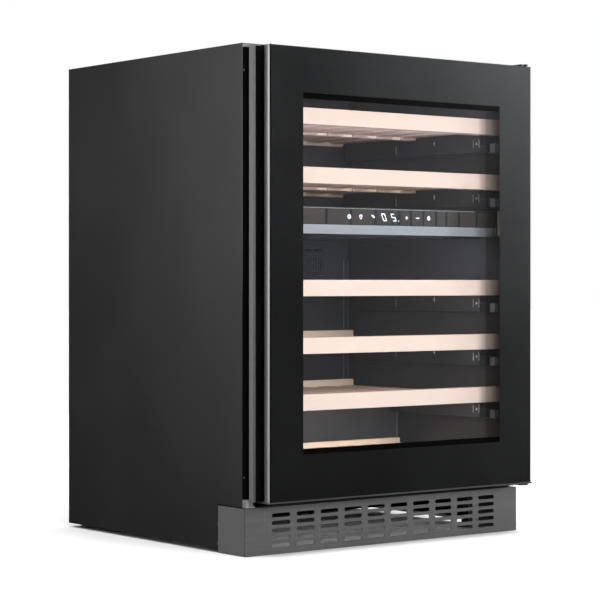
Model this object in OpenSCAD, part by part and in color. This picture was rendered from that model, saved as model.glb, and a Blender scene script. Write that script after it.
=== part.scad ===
// Built-in dual-zone wine cooler with a glazed door, pull-out wooden shelves and a slotted plinth grille.
// Millimetres. +Z is up, the door faces -Y and its hinge is on the +X side.
// Every module is laid out from the cabinet's left front bottom corner; place() then centres the whole.

/* [Cabinet] */
// Width over the side panels
body_w = 595; // [560:5:700]
// Height from the floor to the top panel
body_h = 820; // [780:5:900]
// Depth from the door glass to the back panel
body_d = 575; // [560:5:640]
// Depth in front of the cabinet that the door and its seal take up
door_zone = 48; // [46:1:60]
// Sheet steel of the outer casing
skin = 1.2; // [0.8:0.1:2]
// Wall of the plastic liners
liner_t = 1.5; // [1:0.1:3]
// Insulated side wall, outer face to inner face
side_wall = 28; // [24:1:40]
// Insulated top wall
top_wall = 35; // [28:1:50]
// Insulated back wall, from the back panel to the inner face of the liner
back_wall = 99; // [95:1:120]
// Underside of the insulated body above the floor
base_z = 84; // [80:1:100]
// Floor of the lower zone above the floor
inner_floor_z = 118; // [112:1:140]
// Gap under the side panels
side_lift = 6.3; // [4:0.1:15]
// Flat flange of the front frame
frame_t = 1.5; // [1:0.1:3]

/* [Machine compartment] */
// Front face of the step over the compressor, from the door glass
step_y = 331; // [310:1:350]
// Top of the step inside the lower zone
step_z = 222; // [212:1:224]
// Insulation between the step and the compartment
step_wall = 20; // [15:1:30]

/* [Plinth grille] */
// Height of the grille
kick_h = 76.3; // [66:0.1:80]
// Distance of the grille behind the door glass
kick_back = 40.2; // [38:0.1:50]
// Length of the returns along the sides
kick_return = 74; // [50:1:90]
// Sheet thickness of the grille
kick_t = 1.5; // [1:0.1:3]
// Slots side by side
slot_cols = 10; // [6:1:11]
// Slots above one another
slot_rows = 5; // [3:1:5]
// Length of a slot
slot_l = 37.3; // [20:0.1:40]
// Height of a slot
slot_h = 6.6; // [4:0.1:8]
// Distance between slots along the width
slot_px = 50; // [45:0.5:55]
// Distance between slots up the height
slot_pz = 12.2; // [10:0.1:13]

/* [Door] */
// Thickness of the door without its seal
door_t = 36; // [34:1:42]
// Bottom edge of the door above the floor
door_z = 85.5; // [84:0.5:100]
// Gap between the door and the top of the cabinet
door_top_gap = 4.5; // [4:0.5:8]
// Thickness of each pane
pane_t = 4; // [3:0.5:5]
// Left edge of the front pane from the cabinet's side
pane_inset = 20; // [18:1:30]
// Width of the printed border at the hinge side
border_r = 74.1; // [60:0.1:90]
// Width of the printed border at the handle side, from the pane's edge
border_l = 69.4; // [60:0.1:90]
// Height of the printed border at the top and the bottom
border_v = 73; // [60:1:90]
// Width of the handle profile behind the pane
handle_w = 42; // [40:1:60]
// Width of the hinge-side profile
stile_w = 35; // [32:1:45]
// Height of the top and bottom rails
rail_h = 38; // [34:1:50]
// Wall of the aluminium profiles
profile_t = 1.8; // [1.4:0.1:3]
// Width of the seal
seal_w = 15; // [12:0.5:18]
// Gap between the seal and the front frame
seal_gap = 0.4; // [0.3:0.1:1]

/* [Hinge] */
// Pivot from the cabinet's right side
pivot_in = 12; // [12:0.5:14]
// Pivot behind the door glass
pivot_y = 12; // [11:0.5:16]
// Radius of the hinge pins
pin_r = 4; // [3:0.1:5]
// Radial running clearance of the pins
pin_clear = 0.05; // [0.02:0.01:0.1]
// Thickness of the hinge plates
plate_t = 2.4; // [2:0.1:2.6]

/* [Shelves] */
// Underside of each shelf's front board, from the top shelf down
shelf_zs = [696.8, 600.1, 414.8, 320.3, 227.5];
// Height of the front boards
board_h = 27; // [20:1:32]
// Thickness of the front boards
board_t = 18; // [12:1:22]
// Gap between a front board and the side walls
board_gap = 0.7; // [0.5:0.1:3]
// Slats in a shelf
slat_n = 9; // [5:1:9]
// Width of a slat
slat_w = 34; // [20:1:40]
// Distance between slats
slat_p = 57.2; // [50:0.1:60]
// Thickness of a slat
slat_t = 10; // [6:0.5:12]
// Thickness of the cross rails under the slats
cross_t = 5; // [4:0.5:6]
// Depth of the upper zone's shelves to the front of their rear rail
upper_reach = 461; // [440:1:461]
// Depth of the lower zone's shelves to the front of their rear rail
lower_reach = 430; // [400:1:450]
// Height of the wall runners
runner_h = 18; // [14:1:20]
// Depth of the wall runners out from the wall
runner_w = 12; // [10:0.5:14]

/* [Divider] */
// Underside of the divider's trim
divider_z = 518; // [500:1:530]
// Height of the aluminium trim
trim_h = 15.5; // [10:0.5:20]
// Height of the control panel
panel_h = 28; // [20:1:32]
// Front face of the control panel from the door glass
panel_y = 58; // [54:1:62]

/* [Fans] */
// Radius of the air fan in each zone
fan_r = 24; // [20:1:25]
// Radius of the condenser fan
big_fan_r = 52; // [40:1:54]
// Shaft radius of the fans
shaft_r = 2; // [1.5:0.1:3]
// Radial running clearance of the fan shafts
shaft_clear = 0.05; // [0.02:0.01:0.1]

/* [Feet] */
// Radius of a foot's pad
foot_r = 18; // [14:1:22]
// Radius of a foot's threaded stem
stem_r = 5; // [4:0.5:6]
// How far a foot can be screwed down
foot_travel = 50; // [30:1:50]

/* [Hidden] */

$fn = 48;
eps = 0.01;

// cabinet planes
in_l = side_wall;
in_r = body_w - side_wall;
in_top = body_h - top_wall;
in_back = body_d - back_wall;
casing_back = body_d - skin;
flange_back = door_zone + frame_t;
room_y = step_y + liner_t + step_wall;
room_z = step_z - liner_t - step_wall;
tray_z = 18;
pan_t = 2;
kick_gap = 2;

// liner pockets behind the duct covers
pocket_d = 44;
pocket_in = 32;
cover_t = 3;
cover_in = 13;
cover_front = in_back - cover_t;
upper_floor_z = divider_z + trim_h + panel_h + liner_t;
lower_ceiling_z = divider_z;
upper_pocket = [upper_floor_z + 17, in_top - 15];
lower_pocket = [step_z + 70, lower_ceiling_z - 18];

// fans: centre of each duct opening
upper_fan_at = [body_w / 2, upper_floor_z + 97];
lower_fan_at = [in_r - 88.5, lower_ceiling_z - 51];
big_fan_at = [435, 106];
frame_d = 20;
rotor_d = 11;

// door planes
door_top = body_h - door_top_gap;
pane_z = door_z + 2.7;
edge_t = 1.5;
border_t = 0.3;
frame_y = pane_t + border_t + 0.1;
profile_r = body_w - stile_w;
profile_l = pane_inset + handle_w;
seal_d = door_zone - door_t - seal_gap;
seal_back = door_t + seal_d;
pivot_x = body_w - pivot_in;
bush_h = 15;
groove_wall_t = 2;
fin_x = 5;
fin_t = 4.6;
fin_y = 25;
back_t = 3;
lip_t = 3;
lip_y = 16;
groove_r = profile_l - 16;

// shelves
board_y = door_zone + 1;
slats_y = board_y + board_t;
slats_w = (slat_n - 1) * slat_p + slat_w;
slats_x = (body_w - slats_w) / 2;
rear_rail_t = 10;
rail_d = 18;
mid_y = 254;
pad_t = 4;
arm_t = 2;
runner_drop = 13;
bar_h = runner_h - 4;
runner_t = 1.2;

steel = [0.30, 0.30, 0.31];
black = [0.09, 0.09, 0.095];
zinc = [0.66, 0.68, 0.70];
dark_plastic = [0.16, 0.16, 0.17];
alu = [0.72, 0.72, 0.74];
beech = [0.93, 0.85, 0.75];
slat_wood = [0.78, 0.62, 0.50];
smoke = [0.2, 0.22, 0.25, 0.35];

module place() translate([-body_w / 2, -body_d / 2, 0]) children();
module box(low, high) translate(low) cube(high - low);
module mirror_x() { children(); translate([body_w, 0, 0]) mirror([1, 0, 0]) children(); }
module disc_y(r, y1, y2, at) translate([at[0], y2, at[1]]) rotate([90, 0, 0]) cylinder(r = r, h = y2 - y1);
// an outline in Y and Z, carried along X from x1 to x2
module along_x(x1, x2, pts) translate([x1, 0, 0]) rotate([90, 0, 90]) linear_extrude(x2 - x1) polygon(pts);

// ---- casing ----

module side_sheet() {
    kick_end = kick_back + kick_return + kick_gap;
    along_x(0, skin, [[door_zone, kick_h + kick_gap], [kick_end, kick_h + kick_gap], [kick_end, side_lift],
        [body_d - skin, side_lift], [body_d - skin, body_h], [door_zone, body_h]]);
}

module left_side_panel() color(black) place() side_sheet();

module right_side_panel() color(black) place() translate([body_w, 0, 0]) mirror([1, 0, 0]) side_sheet();

module top_panel() color(black) place()
    box([skin, door_zone, body_h - skin], [body_w - skin, casing_back, body_h]);

module back_panel() color(zinc) place()
    box([0, casing_back, room_z], [body_w, body_d, body_h]);

module front_frame() color(black) place() difference() {
    box([skin, door_zone, kick_h + kick_gap], [body_w - skin, flange_back, body_h - skin]);
    box([in_l, door_zone - 1, inner_floor_z], [in_r, flange_back + 1, in_top]);
}

// underside of the insulated body, turned up in front of the compressor and back over it
module bottom_panel() color(zinc) place()
    along_x(skin, body_w - skin, [[flange_back, base_z], [room_y, base_z], [room_y, room_z - skin],
        [casing_back, room_z - skin], [casing_back, room_z], [room_y - skin, room_z],
        [room_y - skin, base_z + skin], [flange_back, base_z + skin]]);

// ---- liners and insulation ----

module upper_shape(grow) {
    box([in_l - grow, flange_back, upper_floor_z - grow], [in_r + grow, in_back + grow, in_top + grow]);
    box([in_l + pocket_in - grow, in_back - 1, upper_pocket[0] - grow],
        [in_r - pocket_in + grow, in_back + pocket_d + grow, upper_pocket[1] + grow]);
}

module lower_shape(grow) {
    along_x(in_l - grow, in_r + grow, [[flange_back, inner_floor_z - grow],
        [step_y + grow, inner_floor_z - grow], [step_y + grow, step_z - grow],
        [in_back + grow, step_z - grow], [in_back + grow, lower_ceiling_z + grow],
        [flange_back, lower_ceiling_z + grow]]);
    box([in_l + pocket_in - grow, in_back - 1, lower_pocket[0] - grow],
        [in_r - pocket_in + grow, in_back + pocket_d + grow, lower_pocket[1] + grow]);
}

module upper_liner() color(dark_plastic) place() difference() {
    upper_shape(liner_t);
    translate([0, -1, 0]) upper_shape(0);
    upper_shape(0);
    box([0, door_zone, divider_z], [body_w, panel_y + 4, upper_floor_z]);
}

module lower_liner() color(dark_plastic) place() difference() {
    lower_shape(liner_t);
    translate([0, -1, 0]) lower_shape(0);
    lower_shape(0);
    box([in_l, door_zone, lower_ceiling_z - 1], [in_r, panel_y + 4, lower_ceiling_z + liner_t + 1]);
}

module foam_insulation() color("khaki") place() difference() {
    along_x(skin, body_w - skin, [[flange_back, base_z + skin], [room_y - skin, base_z + skin],
        [room_y - skin, room_z], [casing_back, room_z], [casing_back, body_h - skin],
        [flange_back, body_h - skin]]);
    upper_shape(liner_t);
    lower_shape(liner_t);
    box([in_l - liner_t, flange_back - 1, lower_ceiling_z - 1],
        [in_r + liner_t, in_back + liner_t, upper_floor_z + 1]);
}

// ---- divider with the controls ----

module zone_divider() color(dark_plastic) place() difference() {
    box([in_l, panel_y + 4, lower_ceiling_z + liner_t], [in_r, in_back, upper_floor_z - liner_t]);
    box([in_l + 10, panel_y + 3, divider_z + trim_h + 2],
        [in_r - 10, panel_y + 14, upper_floor_z - liner_t - 3]);
}

module divider_trim() color(alu) place()
    box([in_l + 2, panel_y, divider_z], [in_r - 3, panel_y + 4, divider_z + trim_h]);

module control_panel() color(black) place()
    box([in_l + 2, panel_y + 0.6, divider_z + trim_h],
        [in_r - 3, panel_y + 4, divider_z + trim_h + panel_h]);

module control_board() color("darkgreen") place() {
    box([in_l + 130, panel_y + 4, divider_z + trim_h + 4],
        [in_r - 110, panel_y + 5.6, divider_z + trim_h + 23]);
    for (i = [0 : 3])
        box([in_l + 150 + i * 60, panel_y + 5.6, divider_z + trim_h + 9],
            [in_l + 172 + i * 60, panel_y + 9, divider_z + trim_h + 19]);
}

module led_strips() color("aliceblue") place() {
    lamp_in = 34;
    box([in_l + lamp_in, board_y + 22, in_top - 5], [in_r - lamp_in, board_y + 36, in_top]);
    box([in_l + lamp_in, panel_y + 8, lower_ceiling_z - 5],
        [in_r - lamp_in, panel_y + 22, lower_ceiling_z]);
}

// ---- air ducts ----

// slots across a disc, ring by ring: two arcs of bars and a row of upright slots
module fan_vents(at, y1, y2) {
    vent_w = 3;
    vent_p = 6;
    for (i = [-3 : 3]) {
        half = sqrt(pow(fan_r - 3, 2) - pow(i * vent_p, 2));
        translate([at[0] + i * vent_p, 0, at[1]]) box([-vent_w / 2, y1, -half], [vent_w / 2, y2, half]);
    }
}

module duct_cover(z1, z2, at) difference() {
    union() {
        box([in_l + cover_in, cover_front, z1], [in_r - cover_in, in_back, z2]);
        disc_y(fan_r + 3.5, cover_front - 1.2, in_back, at);
    }
    fan_vents(at, cover_front - 2, in_back + 1);
    for (i = [-8 : 8]) box([body_w / 2 + i * 24 - 8, cover_front - 1, z2 - 11],
        [body_w / 2 + i * 24 + 8, in_back + 1, z2 - 7]);
}

module duct_covers() color(dark_plastic) place() {
    duct_cover(upper_floor_z + 4, in_top - 6, upper_fan_at);
    duct_cover(step_z + 4, lower_ceiling_z - 10, lower_fan_at);
}

// one finned cooling plate in each zone's pocket
module cooling_plate(x1, x2, z1, z2) {
    back = in_back + pocket_d;
    box([x1, back - 4, z1], [x2, back, z2]);
    for (i = [0 : 9]) translate([x1 + 10 + i * (x2 - x1 - 20) / 9, 0, 0])
        box([-0.6, back - 18, z1 + 4], [0.6, back - 4, z2 - 4]);
}

module evaporators() color(alu) place() {
    cooling_plate(in_l + pocket_in + 8, in_l + pocket_in + 188, upper_pocket[0] + 10, upper_pocket[1] - 10);
    cooling_plate(in_l + pocket_in + 8, in_l + pocket_in + 188, lower_pocket[0] + 10, lower_pocket[1] - 10);
}

// square frame with a round opening; three arms at the back carry the bearing
module fan_frame(r, at, y1, depth, side) {
    arm_h = 3;
    difference() {
        box([at[0] - side / 2, y1, at[1] - side / 2], [at[0] + side / 2, y1 + depth, at[1] + side / 2]);
        disc_y(r + 2, y1 - 1, y1 + depth + 1, at);
    }
    difference() {
        union() {
            disc_y(r * 0.3, y1 + depth - arm_h, y1 + depth, at);
            for (a = [90, 210, 330]) translate([at[0], y1 + depth - arm_h, at[1]]) rotate([0, -a, 0])
                translate([0, 0, -2]) cube([r + 4, arm_h, 4]);
        }
        disc_y(shaft_r + shaft_clear, y1 + depth - arm_h - 1, y1 + depth + 1, at);
    }
}

coil_low = [350, 385, tray_z + pan_t];
coil_high = [520, 425, 182];
big_fan_y = coil_high[1];
small_side = 2 * fan_r + 12;
big_side = 2 * big_fan_r + 12;
big_frame_d = 26;

module fan_frames() color(dark_plastic) place() {
    fan_frame(fan_r, upper_fan_at, in_back, frame_d, small_side);
    fan_frame(fan_r, lower_fan_at, in_back, frame_d, small_side);
    fan_frame(big_fan_r, big_fan_at, big_fan_y, big_frame_d, big_side);
}

// hub, slanted blades and a shaft that runs in the frame's bearing
module rotor(r, at, y1, depth, blades, shaft_end) {
    hub_r = r * 0.34;
    disc_y(hub_r, y1, y1 + depth, at);
    disc_y(shaft_r, y1 + depth - 1, shaft_end, at);
    for (i = [0 : blades - 1]) translate([at[0], y1 + depth / 2, at[1]]) rotate([0, i * 360 / blades, 0])
        translate([hub_r - 1, 0, 0]) rotate([35, 0, 0]) translate([0, -0.8, -depth * 0.55])
            cube([r - hub_r, 1.6, depth * 1.1]);
}

module upper_fan() color(black) place()
    rotor(fan_r, upper_fan_at, in_back + 4, rotor_d, 7, in_back + frame_d);
module lower_fan() color(black) place()
    rotor(fan_r, lower_fan_at, in_back + 4, rotor_d, 7, in_back + frame_d);
module condenser_fan() color(black) place()
    rotor(big_fan_r, big_fan_at, big_fan_y + 4, 15, 5, big_fan_y + big_frame_d);

// ---- machine compartment ----

pump_at = [150, 460];
pump_r = 60;
pump_z = tray_z + pan_t + 12;
pump_h = 128;

module compressor() color(black) place() {
    translate([pump_at[0], pump_at[1], pump_z]) {
        rotate_extrude($fn = 64) polygon([[0, 2], [pump_r - 16, 2], [pump_r - 4, 10], [pump_r, 22],
            [pump_r, pump_h * 0.5], [pump_r + 3, pump_h * 0.5], [pump_r + 3, pump_h * 0.5 + 4],
            [pump_r, pump_h * 0.5 + 4], [pump_r, pump_h - 26], [pump_r - 7, pump_h - 12],
            [pump_r - 22, pump_h - 3], [0, pump_h]]);
        translate([-80, -50, 0]) cube([160, 100, 3]);
        for (x = [-68, 68], y = [-38, 38]) translate([x, y, -12]) cylinder(r = 9, h = 12);
        translate([pump_r - 2, -18, 50]) cube([18, 36, 40]);
    }
}

module condenser() color(black) place() {
    fin_n = 17;
    box(coil_low, [coil_low[0] + 2, coil_high[1], coil_high[2]]);
    box([coil_high[0] - 2, coil_low[1], coil_low[2]], coil_high);
    for (i = [1 : fin_n - 1]) translate([coil_low[0] + i * (coil_high[0] - coil_low[0]) / fin_n, 0, 0])
        box([-0.5, coil_low[1], coil_low[2] + 6], [0.5, coil_high[1], coil_high[2] - 4]);
    for (z = [0 : 5], y = [10, 30]) translate([coil_low[0], coil_low[1] + y, coil_low[2] + 18 + z * 25])
        rotate([0, 90, 0]) cylinder(r = 3.5, h = coil_high[0] - coil_low[0]);
}

// straight tube between two points, with a brazed joint at its end
module pipe(a, b, r) {
    d = b - a;
    translate(a) rotate([0, acos(d[2] / norm(d)), atan2(d[1], d[0])]) cylinder(r = r, h = norm(d));
    translate(b) sphere(r = r + joint_t);
}

joint_t = 0.8;
module pipe_run(pts, r) for (i = [0 : len(pts) - 2]) pipe(pts[i], pts[i + 1], r);

module refrigerant_pipes() color("peru") place() {
    out_x = pump_at[0] + 10;
    pipe_run([[out_x, pump_at[1] - pump_r + 2, 70], [out_x, 380, 70], [250, 380, 70],
        [250, 395, 45], [coil_low[0], 395, 45]], 3);
    pipe_run([[out_x + 20, pump_at[1] - pump_r + 8, 120], [out_x + 20, 372, 120], [300, 372, 120],
        [300, 372, room_z - skin - 4 - joint_t]], 4);
}

module drip_tray() color(dark_plastic) place() {
    x1 = pump_at[0] - 62;
    y1 = pump_at[1] - 62;
    z1 = pump_z + pump_h;
    difference() {
        box([x1, y1, z1], [x1 + 124, y1 + 124, z1 + 16]);
        box([x1 + 2, y1 + 2, z1 + 2], [x1 + 122, y1 + 122, z1 + 17]);
    }
}

foot_front_y = 138;
foot_rear_y = 545;
foot_x = 30;
rail_in = 46;
boss_r = stem_r + 4;
boss_h = 10;
thread_clear = 0.08;
foot_places = [[foot_x, foot_front_y], [body_w - foot_x, foot_front_y],
    [foot_x, foot_rear_y], [body_w - foot_x, foot_rear_y]];

// rear tray for the compressor with a side rail forward to each front foot
module base_frame() color(black) place() difference() {
    union() {
        box([skin, room_y, tray_z], [body_w - skin, casing_back, tray_z + pan_t]);
        box([skin, room_y, tray_z], [body_w - skin, room_y + pan_t, tray_z + 14]);
        mirror_x() {
            box([skin, kick_back + kick_return, tray_z], [rail_in, room_y + 1, tray_z + pan_t]);
            box([skin, kick_back + kick_return + kick_gap, tray_z], [skin + pan_t, casing_back, tray_z + 26]);
        }
        for (p = foot_places) translate([p[0], p[1], tray_z]) cylinder(r = boss_r, h = boss_h);
    }
    for (p = foot_places) translate([p[0], p[1], tray_z - 1])
        cylinder(r = stem_r + thread_clear, h = boss_h + 2);
}

module foot(i) color(black) place() translate([foot_places[i][0], foot_places[i][1], 0]) {
    cylinder(r = foot_r, h = 6);
    translate([0, 0, 6]) cylinder(r = stem_r + 4, h = 6, $fn = 6);
    translate([0, 0, 12]) cylinder(r = stem_r, h = tray_z + foot_travel - 6);
}
module front_left_foot() foot(0);
module front_right_foot() foot(1);
module rear_left_foot() foot(2);
module rear_right_foot() foot(3);

inlet_x = 56;
inlet_z = 44;
inlet_w = 48;
inlet_h = 28;
inlet_gap = 0.5;
inlet_lip = 3;

// slotted sheet that closes the compartment at the back
module rear_grille() color(zinc) place() difference() {
    box([skin, casing_back, tray_z + pan_t], [body_w - skin, body_d, room_z]);
    box([inlet_x - inlet_gap, casing_back - 1, inlet_z - inlet_gap],
        [inlet_x + inlet_w + inlet_gap, body_d + 1, inlet_z + inlet_h + inlet_gap]);
    for (i = [0 : 24], z = [60, 130]) translate([150 + i * 16, 0, z])
        box([0, casing_back - 1, -10], [7, body_d + 1, 45]);
}

module power_inlet() color(black) place() {
    difference() {
        union() {
            box([inlet_x, body_d - 26, inlet_z], [inlet_x + inlet_w, body_d, inlet_z + inlet_h]);
            box([inlet_x - inlet_lip, casing_back - 2, inlet_z - inlet_lip],
                [inlet_x + inlet_w + inlet_lip, casing_back, inlet_z + inlet_h + inlet_lip]);
        }
        box([inlet_x + 10, body_d - 18, inlet_z + 5],
            [inlet_x + inlet_w - 10, body_d + 1, inlet_z + inlet_h - 5]);
    }
    translate([inlet_x + inlet_w / 2, body_d - 19, inlet_z + inlet_h / 2])
        for (pin = [[-8, -2], [0, 3], [8, -2]]) translate([pin[0], 0, pin[1]]) box([-1, 0, -2], [1, 14, 2]);
}

// ---- plinth grille ----

module stadium(l, h) {
    square([l - h, h], center = true);
    for (s = [-1, 1]) translate([s * (l - h) / 2, 0]) circle(d = h);
}

module kick_plate() color(steel) place() {
    slot_mid_z = kick_h / 2;
    difference() {
        box([0, kick_back, 0], [body_w, kick_back + kick_t, kick_h]);
        for (c = [0 : slot_cols - 1], r = [0 : slot_rows - 1])
            translate([body_w / 2 + (c - (slot_cols - 1) / 2) * slot_px, kick_back + kick_t + 1,
                slot_mid_z + (r - (slot_rows - 1) / 2) * slot_pz])
                rotate([90, 0, 0]) linear_extrude(kick_t + 2) stadium(slot_l, slot_h);
    }
    mirror_x() box([0, kick_back, 0], [kick_t, kick_back + kick_return, kick_h]);
    mirror_x() box([0, kick_back + kick_return - kick_t, 0], [rail_in, kick_back + kick_return, kick_h]);
    box([0, kick_back, kick_h - kick_t], [body_w, kick_back + 18, kick_h]);
}

// ---- hinges and trim on the cabinet ----

tab_w = 45;
tab_h = 12;
tab_t = 2.5;
tab_x = pivot_x - 34;

// plate that reaches forward over the pivot, a tab on the front frame and a fixed pin
module hinge_plate(z, tab_z) {
    linear_plate = [[tab_x, door_zone - tab_t], [tab_x, door_zone], [tab_x + tab_w, door_zone],
        [tab_x + tab_w, pivot_y], [pivot_x - 8, pivot_y], [pivot_x - 10, door_zone - 12]];
    translate([0, 0, z]) {
        linear_extrude(plate_t) polygon(linear_plate);
        translate([pivot_x, pivot_y, 0]) cylinder(r = 9.5, h = plate_t);
    }
    box([tab_x, door_zone - tab_t, tab_z], [tab_x + tab_w, door_zone, tab_z + tab_h]);
}

hinge_top_z = body_h - 0.6 - plate_t;
hinge_low_z = door_z - 0.7 - plate_t;

module hinge_plates() color(steel) place() {
    pin_h = 14;
    hinge_plate(hinge_top_z, body_h - 0.6 - tab_h);
    translate([pivot_x, pivot_y, hinge_top_z - pin_h]) cylinder(r = pin_r, h = pin_h);
    hinge_plate(hinge_low_z, kick_h + kick_gap);
    translate([pivot_x, pivot_y, hinge_low_z + plate_t]) cylinder(r = pin_r, h = pin_h);
}

module corner_covers() color([0.5, 0.5, 0.51]) place() {
    box([0, door_zone - 3, body_h - 6.7], [36, door_zone, body_h - 1.1]);
    difference() {
        box([0, door_t + 1.5, kick_h + 1.3], [18.3, door_zone, kick_h + 14.4]);
        box([6, door_t, kick_h + 4], [19, door_zone - 5, kick_h + 11.7]);
    }
}

module screw(at) disc_y(2.2, door_zone - 1.3, door_zone, at);

// heads on the front frame's flange and on both hinge tabs
module screws() color(alu) place() {
    for (z = [body_h - 43.6, 125.2], x = [4.2, body_w - 4.2]) screw([x, z]);
    for (x = [tab_x + 8, tab_x + 24]) {
        translate([0, -tab_t, 0]) screw([x, hinge_top_z - 4]);
        translate([0, -tab_t, 0]) screw([x, hinge_low_z + plate_t + 2.8]);
    }
}

// ---- door ----

// outline of the handle profile in X and Y: lip, finger groove and fin, then a closed chamber
module handle_outline() difference() {
    polygon([[fin_x, fin_y], [fin_x + fin_t, fin_y], [fin_x + fin_t, door_t - back_t],
        [groove_r, door_t - back_t], [groove_r, frame_y + 2.6], [pane_inset + lip_t, frame_y + 2.6],
        [pane_inset + lip_t, lip_y], [pane_inset, lip_y], [pane_inset, 0], [pane_inset + edge_t, 0],
        [pane_inset + edge_t, frame_y], [profile_l, frame_y], [profile_l, door_t], [fin_x, door_t]]);
    translate([groove_r + groove_wall_t, frame_y + profile_t])
        square([profile_l - groove_r - 2 * groove_wall_t, door_t - frame_y - 2 * profile_t]);
}

module handle_profile() color(steel) place() translate([0, 0, pane_z])
    linear_extrude(door_top - pane_z) handle_outline();

module rail_tube(z1) difference() {
    box([profile_l, frame_y, z1], [profile_r, door_t, z1 + rail_h]);
    box([profile_l - 1, frame_y + profile_t, z1 + profile_t],
        [profile_r + 1, door_t - profile_t, z1 + rail_h - profile_t]);
}

// tubular upright at the hinge side and a tubular rail along the top
module door_frame() color(black) place() {
    translate([0, 0, pane_z]) linear_extrude(door_top - pane_z) difference() {
        translate([profile_r, frame_y]) square([stile_w, door_t - frame_y]);
        translate([profile_r + profile_t, frame_y + profile_t])
            square([stile_w - 2 * profile_t, door_t - frame_y - 2 * profile_t]);
    }
    rail_tube(door_top - rail_h);
}

// rail tube on a sill that carries the pane along the whole bottom edge
module bottom_rail() color(alu) place() {
    rail_tube(pane_z);
    difference() {
        box([pane_inset, 0, door_z], [body_w, door_t, pane_z]);
        translate([pivot_x, pivot_y, door_z - 1]) cylinder(r = pin_r + 1, h = 5);
    }
}

pane_l = pane_inset + edge_t;

module front_pane() color(smoke) place() box([pane_l, 0, pane_z], [body_w, pane_t, door_top]);

module pane_border() color(black) place() difference() {
    box([pane_l, pane_t, pane_z], [body_w, pane_t + border_t, door_top]);
    box([pane_inset + border_l, pane_t - 1, pane_z + border_v],
        [body_w - border_r, pane_t + 2, door_top - border_v]);
}

module inner_pane() color(smoke) place()
    box([profile_l, door_t - pane_t, pane_z + rail_h], [profile_r, door_t, door_top - rail_h]);

module door_seal() color(black) place() {
    out_l = in_l - 0.5 - seal_w;
    out_r = pivot_x;
    out_z1 = inner_floor_z - 2 - 1.6 * seal_w;
    out_z2 = in_top + 1 + 1.3 * seal_w;
    difference() {
        box([out_l, door_t, out_z1], [out_r, seal_back, out_z2]);
        box([in_l - 0.5, door_t - 1, inner_floor_z - 1], [in_r + 0.8, seal_back + 1, in_top + 1]);
        // hollow bulb of the seal: a groove all round its outer side
        difference() {
            box([out_l - 1, door_t + 4, out_z1 - 1], [out_r + 1, door_t + 7, out_z2 + 1]);
            box([out_l + 4, door_t, out_z1 + 4], [out_r - 4, seal_back, out_z2 - 4]);
        }
    }
}

// a plastic block in each end of the hinge-side profile, bored for the pin
module hinge_bushes() color(dark_plastic) place() {
    for (z = [pane_z, door_top - bush_h]) difference() {
        box([profile_r + profile_t, frame_y + profile_t, z],
            [body_w - profile_t, door_t - profile_t, z + bush_h]);
        translate([pivot_x, pivot_y, z - 1]) cylinder(r = pin_r + pin_clear, h = bush_h + 2);
    }
}

// ---- shelves ----

module shelf_board(zb) color(beech) place()
    box([in_l + board_gap, board_y, zb], [in_r - board_gap, slats_y, zb + board_h]);

// slats on two cross rails, with a tall rear rail
module shelf_slats(zb, reach) color(slat_wood) place() {
    slat_z = zb + 0.5 + cross_t;
    for (i = [0 : slat_n - 1]) translate([slats_x + i * slat_p, 0, 0]) {
        box([0, slats_y, slat_z], [slat_w, reach + eps, slat_z + slat_t]);
        box([0, mid_y - pad_t, zb + 0.5], [slat_w, mid_y + eps, slat_z + eps]);
    }
    for (y = [slats_y, mid_y]) box([slats_x, y, zb + 0.5], [slats_x + slats_w, y + rail_d, slat_z + eps]);
    box([slats_x, reach, zb], [slats_x + slats_w, reach + rear_rail_t, zb + board_h]);
}

// steel arm down each side of the slats, with a bar that runs in the wall runner
module shelf_arms(zb, arm_end) color(steel) place() {
    arm_top = zb + 0.5 + cross_t + slat_t;
    bar_z = zb - runner_drop - (runner_h + bar_h) / 2;
    mirror_x() {
        box([slats_x - arm_t, slats_y + 12, bar_z], [slats_x, arm_end, arm_top]);
        box([in_l + 3, slats_y + 12, bar_z], [slats_x - arm_t + eps, arm_end, bar_z + bar_h]);
    }
}

module runner_pair(zb, runner_end) {
    z2 = zb - runner_drop;
    z1 = z2 - runner_h;
    mirror_x() difference() {
        box([in_l, board_y + 4, z1], [in_l + runner_w, runner_end, z2]);
        box([in_l + runner_t, board_y, z1 + runner_t], [in_l + runner_w + 1, runner_end + 1, z2 - runner_t]);
    }
}

function reach_of(i) = i < 2 ? upper_reach : lower_reach;
// a runner that would meet the step stops short of it
function runner_end_of(i) = shelf_zs[i] - runner_drop - runner_h < step_z ? step_y - 3 : reach_of(i);

module wall_runners() color(dark_plastic) place()
    for (i = [0 : len(shelf_zs) - 1]) runner_pair(shelf_zs[i], runner_end_of(i));

module shelf_1_board() shelf_board(shelf_zs[0]);
module shelf_2_board() shelf_board(shelf_zs[1]);
module shelf_3_board() shelf_board(shelf_zs[2]);
module shelf_4_board() shelf_board(shelf_zs[3]);
module shelf_5_board() shelf_board(shelf_zs[4]);
module numbered_slats(i) shelf_slats(shelf_zs[i], reach_of(i));
module shelf_1_slats() numbered_slats(0);
module shelf_2_slats() numbered_slats(1);
module shelf_3_slats() numbered_slats(2);
module shelf_4_slats() numbered_slats(3);
module shelf_5_slats() numbered_slats(4);
module numbered_arms(i) shelf_arms(shelf_zs[i], runner_end_of(i) - 4);
module shelf_1_arms() numbered_arms(0);
module shelf_2_arms() numbered_arms(1);
module shelf_3_arms() numbered_arms(2);
module shelf_4_arms() numbered_arms(3);
module shelf_5_arms() numbered_arms(4);

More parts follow.
